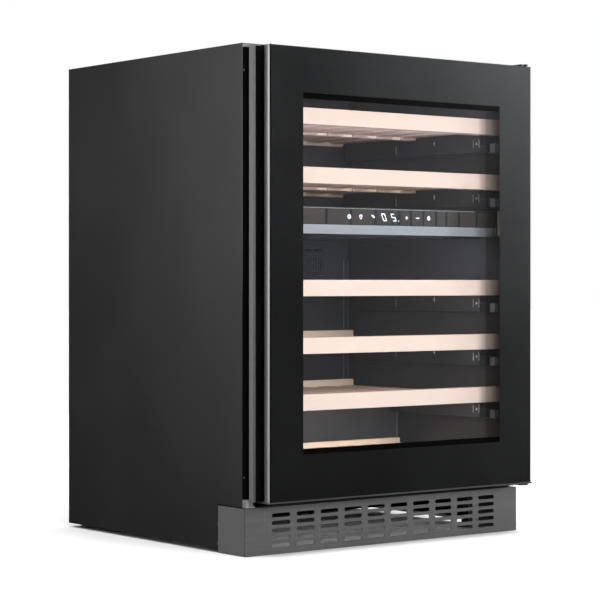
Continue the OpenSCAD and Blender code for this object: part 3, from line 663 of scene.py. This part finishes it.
def door_gasket():
    """Rubber seal: a flat foot on the door, a bellows wall and a soft bulb towards the cabinet."""
    low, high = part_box("door_seal")
    depth = high.y - low.y
    outline = [
        (1.0, 0.0), (13.5, 0.0), (13.5, 0.20), (12.0, 0.26), (12.0, 0.38), (13.6, 0.48),
        (12.2, 0.60), (13.6, 0.70), (14.5, 0.82), (13.2, 0.95), (10.0, 1.0), (5.0, 1.0),
        (1.8, 0.94), (0.4, 0.80), (2.2, 0.66), (0.8, 0.54), (2.2, 0.42), (1.4, 0.30), (0.2, 0.2), (0.2, 0.06),
    ]
    profile = [(inward * MM, low.y + part * depth) for inward, part in outline]
    bm = bmesh.new()
    ring_sweep(bm, profile, low, high)
    stands_for(smooth(piece_from("door_gasket", bm, RUBBER), 60), "door", "seal_rubber", "door_seal")


# ---------------------------------------------------------------- hinges, covers, screws


def screw_head(bm, centre, radius=2.2 * MM, proud=1.1 * MM, axis="Y", facing=-1):
    """A pan head with a cross recess."""
    out = Vector((0, facing, 0)) if axis == "Y" else Vector((facing, 0, 0))
    side = Vector((1, 0, 0)) if axis == "Y" else Vector((0, 1, 0))
    up = Vector((0, 0, 1))
    around, steps = 16, 4
    rings = []
    for step in range(steps + 1):
        t = step / steps * math.pi / 2
        ring_r, lift = radius * math.cos(t * 0.86), proud * math.sin(t)
        rings.append(
            [
                bm.verts.new(
                    centre
                    + out * lift
                    + (side * math.cos(a) + up * math.sin(a)) * ring_r
                )
                for a in (2 * math.pi * i / around for i in range(around))
            ]
        )
    for lower, upper in zip(rings, rings[1:]):
        for i in range(around):
            bm.faces.new((lower[i], lower[(i + 1) % around], upper[(i + 1) % around], upper[i]))
    top = bm.faces.new(rings[-1])
    bm.faces.new(list(reversed(rings[0])))
    bmesh.ops.inset_individual(bm, faces=[top], thickness=radius * 0.08)
    for vert in top.verts:
        vert.co -= out * proud * 0.5
    return top


def front_screws():
    """Small pan heads on the flange and the hinge tabs."""
    bm = bmesh.new()
    source = bmesh.new()
    source.from_mesh(cad["screws"].data)
    bmesh.ops.remove_doubles(source, verts=source.verts, dist=2e-6)
    seen = set()
    for vert in source.verts:
        if vert in seen:
            continue
        island, todo = [], [vert]
        while todo:
            v = todo.pop()
            if v in seen:
                continue
            seen.add(v)
            island.append(v.co.copy())
            todo += [e.other_vert(v) for e in v.link_edges]
        centre = sum(island, Vector()) / len(island)
        centre.y = max(p.y for p in island)
        screw_head(bm, centre)
    source.free()
    bmesh.ops.recalc_face_normals(bm, faces=bm.faces)
    stands_for(smooth(piece_from("front_screws", bm, DARK_STEEL)), "cabinet", "screw_steel", "screws")


def hinge_and_covers():
    shell_of("hinge_plates", "cabinet", "hinge_steel", HINGE_STEEL, 0.35 * MM)
    shell_of("corner_covers", "cabinet", "cover_plastic", COVER_PLASTIC, 0.8 * MM)


# ---------------------------------------------------------------- inside


def liners():
    """The dark liners; the lower one's step face is painted paler, as painted light falling on it."""
    shell_of("upper_liner", "cabinet", "liner_plastic", LINER, 1.2 * MM)
    shell_of("zone_divider", "cabinet", "liner_plastic", LINER, 0.8 * MM)
    bm = joined_copy("lower_liner")
    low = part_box("lower_liner")[0]
    step_depth, mouth_depth = 50 * MM, 100 * MM
    duct_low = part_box("duct_covers")[0]
    for face in bm.faces:
        centre = face.calc_center_median()
        step_face = face.normal.y < -0.9 and centre.z < duct_low.z and centre.y < duct_low.y - step_depth
        if step_face and centre.y > low.y + mouth_depth:
            face.material_index = 1
    piece = piece_from("lower_liner_shell", bm, LINER, STEP_LIT_LINER)
    eased(piece, 1.2 * MM)
    stands_for(piece, "cabinet", "liner_plastic", "lower_liner")


def ducts():
    shell_of("duct_covers", "cabinet", "liner_plastic", DUCT, 0.6 * MM)
    shell_of("wall_runners", "cabinet", "runner_steel", RUNNER_PAINT, 0.25 * MM, 1)


def add_ring(bm, centre, radius, tube, around=48, section=6):
    """A round ring in the X and Z plane."""
    loops = []
    for i in range(around):
        a = 2 * math.pi * i / around
        out = Vector((math.cos(a), 0, math.sin(a)))
        loop = []
        for k in range(section):
            b = 2 * math.pi * k / section
            forward = Vector((0, tube * math.sin(b), 0))
            loop.append(bm.verts.new(centre + out * (radius + tube * math.cos(b)) + forward))
        loops.append(loop)
    for here, there in zip(loops, loops[1:] + loops[:1]):
        for k in range(section):
            n = (k + 1) % section
            bm.faces.new((here[k], here[n], there[n], there[k]))


def fan_rings():
    """Raised rings round the vents in front of each air fan."""
    bm = bmesh.new()
    face_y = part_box("duct_covers")[0].y
    for fan in ("upper_fan", "lower_fan"):
        low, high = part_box(fan)
        centre = Vector(((low.x + high.x) / 2, face_y, (low.z + high.z) / 2))
        for radius in (25.5 * MM, 20.5 * MM, 8 * MM):
            add_ring(bm, centre, radius, 0.9 * MM)
    bmesh.ops.recalc_face_normals(bm, faces=bm.faces)
    stands_for(smooth(piece_from("fan_rings", bm, GRILLE_RING), 60), "cabinet", "liner_plastic")


def highlight_beads():
    """Rounded beads in paler plastic down the lower duct cover's edges, the liner's back corners and the
    step's corners: painted highlights along those edges.
    """
    cover_low, cover_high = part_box("duct_covers")
    liner_low, liner_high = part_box("lower_liner")
    wall = 1.5 * MM
    step_y, step_z = FRONT_Y + 331 * MM, 222 * MM
    floor_z, ceiling_z = 118 * MM, liner_high.z - wall
    face_y = cover_high.y - 3 * MM
    cover_bead, corner_bead, step_bead = 0.8 * MM, 1.1 * MM, 2.7 * MM
    bm = bmesh.new()
    for side in (-1, 1):
        edge = cover_high.x if side > 0 else cover_low.x
        inner = (liner_high.x - wall) if side > 0 else (liner_low.x + wall)
        x1, x2 = sorted((edge - side * 0.9 * MM, edge + side * 0.9 * MM))
        z1, z2 = step_z + 5 * MM, ceiling_z - 34 * MM
        add_box(bm, (x1, face_y - cover_bead, z1), (x2, face_y + cover_bead, z2))
        x1, x2 = sorted((inner, inner - side * corner_bead))
        z1, z2 = step_z + 1 * MM, ceiling_z - 40 * MM
        add_box(bm, (x1, cover_high.y - corner_bead, z1), (x2, cover_high.y, z2))
        x1, x2 = sorted((inner, inner - side * step_bead))
        add_box(bm, (x1, step_y - step_bead, floor_z), (x2, step_y, step_z - 1 * MM))
    beads = eased(piece_from("highlight_beads", bm, HIGHLIGHT_PLASTIC), 0.45 * MM)
    stands_for(beads, "cabinet", "liner_plastic")


def led_bars():
    """Lamp channels under the ceiling and the divider, each with a lens set into its underside."""
    low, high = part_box("led_strips")
    depth, tall, rim, recess = 14 * MM, 5 * MM, 1.5 * MM, 2 * MM
    corners = [(low.y, low.z), (high.y - depth, high.z - tall)]
    housing, lens = bmesh.new(), bmesh.new()
    for y, z in corners:
        sides = add_box(housing, (low.x, y, z), (high.x, y + depth, z + tall))
        faces = {face for vert in sides for face in vert.link_faces}
        under = min(faces, key=lambda face: face.calc_center_median().z)
        bmesh.ops.inset_individual(housing, faces=[under], thickness=rim)
        for vert in under.verts:
            vert.co.z += recess
        gap, lens_low, lens_high = rim + 0.3 * MM, z + 1.0 * MM, z + recess - 0.1 * MM
        add_box(lens, (low.x + gap, y + gap, lens_low), (high.x - gap, y + depth - gap, lens_high))
    shells = eased(piece_from("led_housings", housing, PANEL_GLOSS), 0.5 * MM)
    stands_for(shells, "cabinet", "led_lens", "led_strips")
    lit = eased(piece_from("led_lenses", lens, LED), 0.25 * MM, 1)
    stands_for(lit, "cabinet", "led_lens")


def runner_plugs():
    """Grey stops in the front end of every wall runner."""
    bm = bmesh.new()
    source = cad["wall_runners"].data
    heights = sorted({round(v.co.z, 5) for v in source.vertices})
    wall_low, wall_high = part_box("wall_runners")
    runner_h = 18 * MM
    tops = [z for z in heights if any(abs(z - runner_h - other) < 1e-5 for other in heights)]
    for top in tops:
        for side in (1, -1):
            edge = wall_high.x if side > 0 else wall_low.x
            x1, x2 = sorted((edge - side * 0.5 * MM, edge - side * 11.6 * MM))
            low_corner = (x1, wall_low.y + 0.2 * MM, top - 16.6 * MM)
            add_box(bm, low_corner, (x2, wall_low.y + 12.5 * MM, top - 1.4 * MM))
    piece = eased(piece_from("runner_plugs", bm, PLUG_PLASTIC), 0.8 * MM)
    stands_for(piece, "cabinet", "runner_steel")


def divider_front():
    """Aluminium trim with a separate end cap."""
    low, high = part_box("divider_trim")
    cap, lines, groove = 9 * MM, 5, 0.25 * MM
    bm = bmesh.new()
    step = (high.z - low.z) / lines
    for i in range(lines):
        z1, z2 = low.z + i * step, low.z + (i + 1) * step
        add_box(bm, (low.x, low.y + groove, z1), (high.x - cap, high.y, z2))
        add_box(bm, (low.x, low.y, z1 + groove), (high.x - cap, low.y + 2 * groove, z2 - groove))
    bar = eased(piece_from("divider_trim_bar", bm, TRIM), 0.12 * MM, 1)
    stands_for(bar, "cabinet", "trim_aluminium", "divider_trim")
    bm = bmesh.new()
    add_box(bm, (high.x - cap + 0.2 * MM, low.y, low.z), (high.x, high.y, high.z))
    end = eased(piece_from("divider_end_cap", bm, POLISH_AND_HIGHLIGHT), 0.5 * MM)
    stands_for(end, "cabinet", "trim_aluminium")


def divider_sides():
    """Liner strips that close the sides of the divider, between the two liners."""
    panel_low, panel_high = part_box("control_panel")
    trim_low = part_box("divider_trim")[0]
    gap, thick, depth = 1.2 * MM, 0.7 * MM, 140 * MM
    bm = bmesh.new()
    for end, side in ((panel_low.x, -1), (panel_high.x, 1)):
        x1, x2 = sorted((end + side * gap, end + side * (gap + thick)))
        add_box(bm, (x1, trim_low.y, trim_low.z - 1 * MM), (x2, trim_low.y + depth, panel_high.z + 1 * MM))
    stands_for(piece_from("divider_sides", bm, BAND), "cabinet", "liner_plastic")


def bar_between(bm, a, b, width, front, thick):
    """A flat bar from a to b, both (x, z), with its front at one depth."""
    start, end = Vector((a[0], 0, a[1])), Vector((b[0], 0, b[1]))
    along = (end - start).normalized()
    side = Vector((along.z, 0, -along.x)) * width / 2
    rim = [start - side, start + side, end + side, end - side]
    near = [bm.verts.new(p + Vector((0, front, 0))) for p in rim]
    far = [bm.verts.new(p + Vector((0, front + thick, 0))) for p in rim]
    bm.faces.new(near)
    bm.faces.new(list(reversed(far)))
    for i in range(4):
        j = (i + 1) % 4
        bm.faces.new((near[j], near[i], far[i], far[j]))


def arc_points(centre, radius, start, end, steps):
    turn = [math.radians(start + (end - start) * i / steps) for i in range(steps + 1)]
    return [(centre[0] + radius * math.cos(a), centre[1] + radius * math.sin(a)) for a in turn]


SEGMENTS = {
    "a": ((0, 1), (1, 1)), "b": ((1, 1), (1, 0.5)), "c": ((1, 0.5), (1, 0)), "d": ((0, 0), (1, 0)),
    "e": ((0, 0.5), (0, 0)), "f": ((0, 1), (0, 0.5)), "g": ((0, 0.5), (1, 0.5)),
}
DIGIT_SEGMENTS = {"0": "abcdef", "5": "afgcd"}


def digit_strokes(digit, x, z, width, height):
    """Bars of a seven-segment digit that leans a little, with its low left corner at x and z."""
    lean = -0.45

    def corner(right, up):
        return (x + right * width + up * height * lean, z + up * height)

    return [[corner(*end) for end in SEGMENTS[key]] for key in DIGIT_SEGMENTS[digit]]


def control_panel():
    """Dark strip with glossy touch areas, lit icons and a two-digit display."""
    low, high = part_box("control_panel")
    shell_of("control_panel", "cabinet", "panel_gloss", PANEL_GLOSS, 0.4 * MM)
    lap, side_wall, half_gap, proud = 2 * MM, 28 * MM, 2.2, 0.35 * MM
    edge = low.x - lap - side_wall
    gaps = [32, 76, 128, 180, 233, 286, 339, 365, 393, 422, 446, 476, 517, 560]
    bm = bmesh.new()
    for left, right in zip(gaps, gaps[1:]):
        add_box(
            bm,
            (edge + (left + half_gap) * MM, low.y - proud, low.z + 1.0 * MM),
            (edge + (right - half_gap) * MM, low.y + 0.4 * MM, high.z - 1.8 * MM),
        )
    keys = eased(piece_from("touch_keys", bm, KEY_GLOSS), 0.25 * MM)
    stands_for(keys, "cabinet", "panel_gloss")
    mid = (low.z + high.z) / 2
    icons(edge, mid, low.y - proud)
    bm = bmesh.new()
    add_box(bm, (low.x, low.y - 0.3 * MM, high.z - 1.1 * MM), (edge + 512 * MM, low.y + 0.6 * MM, high.z))
    lip = eased(piece_from("panel_top_line", bm, TRIM), 0.2 * MM, 1)
    stands_for(lip, "cabinet", "trim_aluminium")


def icons(edge, mid, face):
    """Power, lamp, set, two digits with a point, up, down and lock, in strokes of light."""
    size = 3.1 * MM
    at = {name: edge + x * MM for name, x in
          (("power", 229), ("lamp", 254), ("set", 280), ("first", 304), ("second", 325), ("up", 355),
           ("down", 380), ("lock", 405))}
    strokes = []
    strokes += [arc_points((at["power"], mid), size, 120, 420, 12)]
    strokes += [[(at["power"], mid), (at["power"], mid + size * 1.2)]]
    strokes += [arc_points((at["lamp"], mid + 0.6 * MM), size * 0.8, -50, 230, 12)]
    strokes += [[(at["lamp"] - 1.3 * MM, mid - size), (at["lamp"] + 1.3 * MM, mid - size)]]
    strokes += [[(at["set"] - size, mid + size), (at["set"] + size, mid - size * 0.4)]]
    strokes += [[(at["set"] - size * 0.2, mid + size), (at["set"] + size * 1.2, mid)]]
    tall, wide = 11.4 * MM, 6.6 * MM
    strokes += digit_strokes("0", at["first"], mid - tall / 2, wide, tall)
    strokes += digit_strokes("5", at["second"], mid - tall / 2, wide, tall)
    point = at["second"] + wide + 5.0 * MM
    strokes += [[(point, mid - tall / 2), (point + 1.6 * MM, mid - tall / 2)]]
    strokes += [[(at["up"] - size * 0.9, mid), (at["up"] + size * 0.9, mid)]]
    strokes += [[(at["up"], mid - size * 0.9), (at["up"], mid + size * 0.9)]]
    strokes += [[(at["down"] - size * 1.2, mid), (at["down"] + size * 1.2, mid)]]
    strokes += [arc_points((at["lock"], mid - 0.4 * MM), size * 0.8, 0, 360, 12)]
    strokes += [arc_points((at["lock"], mid + 1.6 * MM), size * 0.6, 0, 180, 8)]
    bm = bmesh.new()
    for stroke in strokes:
        for a, b in zip(stroke, stroke[1:]):
            bar_between(bm, a, b, 1.15 * MM, face - 0.12 * MM, 0.2 * MM)
    bmesh.ops.recalc_face_normals(bm, faces=bm.faces)
    stands_for(piece_from("display_icons", bm, ICON_LIGHT), "cabinet", "display_light")


def shelf(number):
    """One pull-out shelf: a maple front board, slats on cross rails, a rear rail and steel arms."""
    body = f"shelf_{number}"
    board = piece_from(f"{body}_front", joined_copy(f"{body}_board"), MAPLE)
    eased(board, 1.1 * MM, 3)
    stands_for(board, body, "board_wood", f"{body}_board")
    slats = shelf_slats(f"{body}_wood", f"{body}_slats")
    stands_for(slats, body, "slat_wood", f"{body}_slats")
    arms = piece_from(f"{body}_rails", joined_copy(f"{body}_arms"), ARM_PAINT)
    eased(arms, 0.3 * MM, 1)
    stands_for(arms, body, "runner_steel", f"{body}_arms")
    stands_for(arm_fittings(f"{body}_fittings", body), body, "screw_steel")


def arm_fittings(name, body):
    """Ribs, a spring clip tinted pale blue as a painted bluish glint, and a screw on the inner face of both
    arms.
    """
    low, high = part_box(f"{body}_slats")
    board_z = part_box(f"{body}_board")[0].z
    board_setback, screw_at, screw_drop = 49 * MM, 87 * MM, 14 * MM
    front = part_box(f"{body}_board")[0].y - board_setback
    rows = []
    ribs = [("front_rib", 80, 1.6, 15, 6), ("mid_rib", 95, 1.0, 14, 7)]
    ribs += [("rear_rib", 305, 1.2, 16, 6), ("clip", 198, 3.0, 8, 4)]
    for part, y, wide, tall, below in ribs:
        proud = 0.9 * MM if part == "clip" else 0.5 * MM
        bm = bmesh.new()
        z = board_z - (below + tall) * MM
        add_box(bm, (0, front + y * MM, z), (proud, front + (y + wide) * MM, z + tall * MM))
        step = (high.x - low.x - proud, 0, 0)
        finish = CLIP_GLINT if part == "clip" else STEEL
        rows.append(row_of(f"{name}_{part}", bm, finish, 2, (low.x, 0, 0), step, 0.2 * MM))
    bm = bmesh.new()
    for x, facing in ((low.x, 1), (high.x, -1)):
        centre = Vector((x, front + screw_at, board_z - screw_drop))
        screw_head(bm, centre, 2.4 * MM, 1.0 * MM, "X", facing)
    bmesh.ops.recalc_face_normals(bm, faces=bm.faces)
    rows.append(piece_from(f"{name}_screws", bm, STEEL))
    return joined(name, rows)


SLATS, SLAT_W, SLAT_T, CROSS_T = 9, 34 * MM, 10 * MM, 5 * MM


def shelf_slats(name, node):
    """Nine slats with two cross rails, darker wood under each slat on the mid rail's face as painted shade of
    the slats, and a tall rear rail.
    """
    low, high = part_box(node)
    pitch = (high.x - low.x - SLAT_W) / (SLATS - 1)
    rail_t, rail_d, shade_depth = 10 * MM, 18 * MM, 4 * MM
    mid_y = FRONT_Y + 254 * MM
    slat_z = low.z + 0.5 * MM + CROSS_T
    bm = bmesh.new()
    add_box(bm, (0, low.y, slat_z), (SLAT_W, high.y - rail_t, slat_z + SLAT_T))
    slats = row_of(name + "_slats", bm, SLAT_Y, SLATS, (low.x, 0, 0), (pitch, 0, 0), 1.5 * MM)
    # Darker wood under each slat on the mid rail's face: painted shade cast by the slats.
    bm = bmesh.new()
    add_box(bm, (0, mid_y - shade_depth, slat_z - CROSS_T), (SLAT_W, mid_y - 0.1 * MM, slat_z - 0.05 * MM))
    slat_shade = row_of(name + "_shade_blocks", bm, MAPLE, SLATS, (low.x, 0, 0), (pitch, 0, 0), 0.5 * MM)
    bm = bmesh.new()
    for y in (low.y, mid_y):
        add_box(bm, (low.x, y, slat_z - CROSS_T), (high.x, y + rail_d, slat_z - 0.02 * MM))
    add_box(bm, (low.x, high.y - rail_t + 0.02 * MM, low.z), (high.x, high.y, high.z))
    rails = eased(piece_from(name + "_rails", bm, SLAT_X), 1.0 * MM)
    return joined(name, [slats, slat_shade, rails])


def floor_rack():
    """Loose rack on the floor of the lower zone."""
    piece = piece_from("floor_rack", joined_copy("bottom_rack"), SLAT_X)
    eased(piece, 1.0 * MM)
    stands_for(piece, "cabinet", "slat_wood", "bottom_rack")


# ---------------------------------------------------------------- nodes shown as packed

KEPT = {
    "foam_insulation": FOAM, "control_board": BOARD_GREEN, "evaporators": FINS, "fan_frames": FAN_PLASTIC,
    "condenser": PUMP_PAINT, "refrigerant_pipes": COPPER, "pane_border": PRINT,
    "upper_fan": FAN_PLASTIC, "lower_fan": FAN_PLASTIC, "condenser_fan": FAN_PLASTIC,
}


def coat_kept_nodes():
    for node, material in KEPT.items():
        cad[node].data.materials.clear()
        cad[node].data.materials.append(material)


# ---------------------------------------------------------------- studio


def area_light(name, place, target, size, power, colour=(1, 1, 1), mirrored=True):
    light = bpy.data.lights.new(name, "AREA")
    light.shape = "RECTANGLE"
    light.size, light.size_y = size
    light.energy = power
    light.color = colour
    lamp = bpy.data.objects.new(name, light)
    bpy.context.scene.collection.objects.link(lamp)
    lamp.location = place
    lamp.rotation_euler = (Vector(target) - Vector(place)).to_track_quat("-Z", "Y").to_euler()
    lamp.visible_camera = False
    lamp.visible_glossy = mirrored
    return lamp


def soft_box(tree, towards, aim, sharpness, strength):
    """A soft box far off in one direction: its glow fades as a power of the cosine off its aim."""
    axis = Vector(aim).normalized()
    near = add(tree, "ShaderNodeVectorMath", {0: towards, 1: axis}, operation="DOT_PRODUCT").outputs["Value"]
    fade = math_of(tree, "POWER", math_of(tree, "MAXIMUM", near, 0.0), sharpness)
    return math_of(tree, "MULTIPLY", fade, strength)


def studio():
    """Pale floor, white surround, two far soft boxes, three lights and the cooler's own lamps."""
    world = bpy.data.worlds.new("studio")
    bpy.context.scene.world = world
    world.use_nodes = True
    tree = world.node_tree
    tree.nodes.clear()
    towards = add(tree, "ShaderNodeTexCoord").outputs["Generated"]
    right = soft_box(tree, towards, (0.801, -0.561, 0.208), 75, 9.6)
    left = soft_box(tree, towards, (-0.763, 0.640, 0.087), 60, 4.6)
    glow = math_of(tree, "ADD", math_of(tree, "ADD", right, left), 0.09)
    surround = add(tree, "ShaderNodeBackground", {"Color": (1, 1, 1, 1), "Strength": glow})
    backdrop = add(tree, "ShaderNodeBackground", {"Color": (1, 1, 1, 1), "Strength": 1.0})
    seen = add(tree, "ShaderNodeLightPath").outputs["Is Camera Ray"]
    mixed = add(tree, "ShaderNodeMixShader", {0: seen, 1: surround.outputs[0], 2: backdrop.outputs[0]})
    add(tree, "ShaderNodeOutputWorld", {"Surface": mixed.outputs[0]})
    area_light("key", (-1.6, -3.4, 1.05), (0.0, -0.2, 0.42), (1.6, 1.2), 100)
    area_light("fill", (0.45, -3.5, 1.0), (0.20, -0.2, 0.42), (0.9, 0.9), 75, mirrored=False)
    white, warm = (1, 1, 1), (1.0, 0.86, 0.80)
    cool, lavender = (0.80, 0.85, 1.0), (0.74, 0.72, 1.0)
    lamps = [
        ("upper_lamp", (0, FRONT_Y + 0.085, 0.776), (0, FRONT_Y + 0.30, 0.60), (0.46, 0.012), 0.8, cool),
        ("lower_lamp", (0, FRONT_Y + 0.080, 0.508), (0, FRONT_Y + 0.30, 0.30), (0.46, 0.012), 0.7, cool),
        ("fourth_glow", (0, FRONT_Y + 0.075, 0.396), (0, FRONT_Y + 0.45, 0.37), (0.46, 0.02), 0.25, white),
        ("fifth_glow", (0, FRONT_Y + 0.075, 0.300), (0, FRONT_Y + 0.45, 0.28), (0.46, 0.02), 0.25, white),
        ("rack_glow", (0, FRONT_Y + 0.075, 0.212), (0, FRONT_Y + 0.30, 0.15), (0.46, 0.02), 0.36, warm),
        ("shelf_glow", (0, FRONT_Y + 0.100, 0.634), (0, FRONT_Y + 0.20, 0.72), (0.46, 0.05), 0.17, lavender),
        ("panel_glow", (0, FRONT_Y + 0.100, 0.568), (0, FRONT_Y + 0.20, 0.62), (0.46, 0.03), 0.35, warm),
        ("ceiling_glow", (-0.14, FRONT_Y + 0.095, 0.506), (-0.12, FRONT_Y + 0.25, 0.520),
         (0.26, 0.01), 0.12, lavender),
    ]
    for name, place, target, size, power, colour in lamps:
        area_light(name, place, target, size, power, colour)
    sun = bpy.data.lights.new("overhead", "SUN")
    sun.energy = 3.6
    sun.angle = math.radians(50)
    overhead = bpy.data.objects.new("overhead", sun)
    bpy.context.scene.collection.objects.link(overhead)
    overhead.location = (0, 0, 3)
    overhead.visible_camera = False

    bm = bmesh.new()
    bmesh.ops.create_circle(bm, cap_ends=True, segments=64, radius=30)
    floor_material, floor_tree, shader = finish_of("floor_pale", 0.9, specular=0.1)
    shade = noise(floor_tree, places(floor_tree), 2, 2)
    tone = blended(floor_tree, span(floor_tree, shade, 0, 1), (0.90, 0.90, 0.90, 1), (0.93, 0.93, 0.93, 1))
    feed(floor_tree, shader, colour=tone)
    floor = piece_from("floor", bm, floor_material)
    floor.location.z = -0.0005
    floor.visible_glossy = False


def camera():
    lens = bpy.data.cameras.new("camera")
    lens.lens = 124.12
    lens.sensor_width = 36
    lens.shift_y = -0.0282
    lens.clip_end = 200
    seat = bpy.data.objects.new("camera", lens)
    bpy.context.scene.collection.objects.link(seat)
    seat.location = (-2.25, -2.8997, 0.43645)
    seat.rotation_euler = (math.radians(90), 0, math.radians(-37.88))
    bpy.context.scene.camera = seat


camera()
studio()
casing()
pressed_back()
rear_and_base()
plinth()
door_glass()
inner_glass()
inner_bands()
handle()
door_shells()
door_gasket()
front_screws()
hinge_and_covers()
liners()
ducts()
fan_rings()
highlight_beads()
led_bars()
runner_plugs()
divider_front()
divider_sides()
control_panel()
for shelf_number in range(1, 6):
    shelf(shelf_number)
floor_rack()
coat_kept_nodes()
bpy.context.scene.view_settings.view_transform = "Standard"
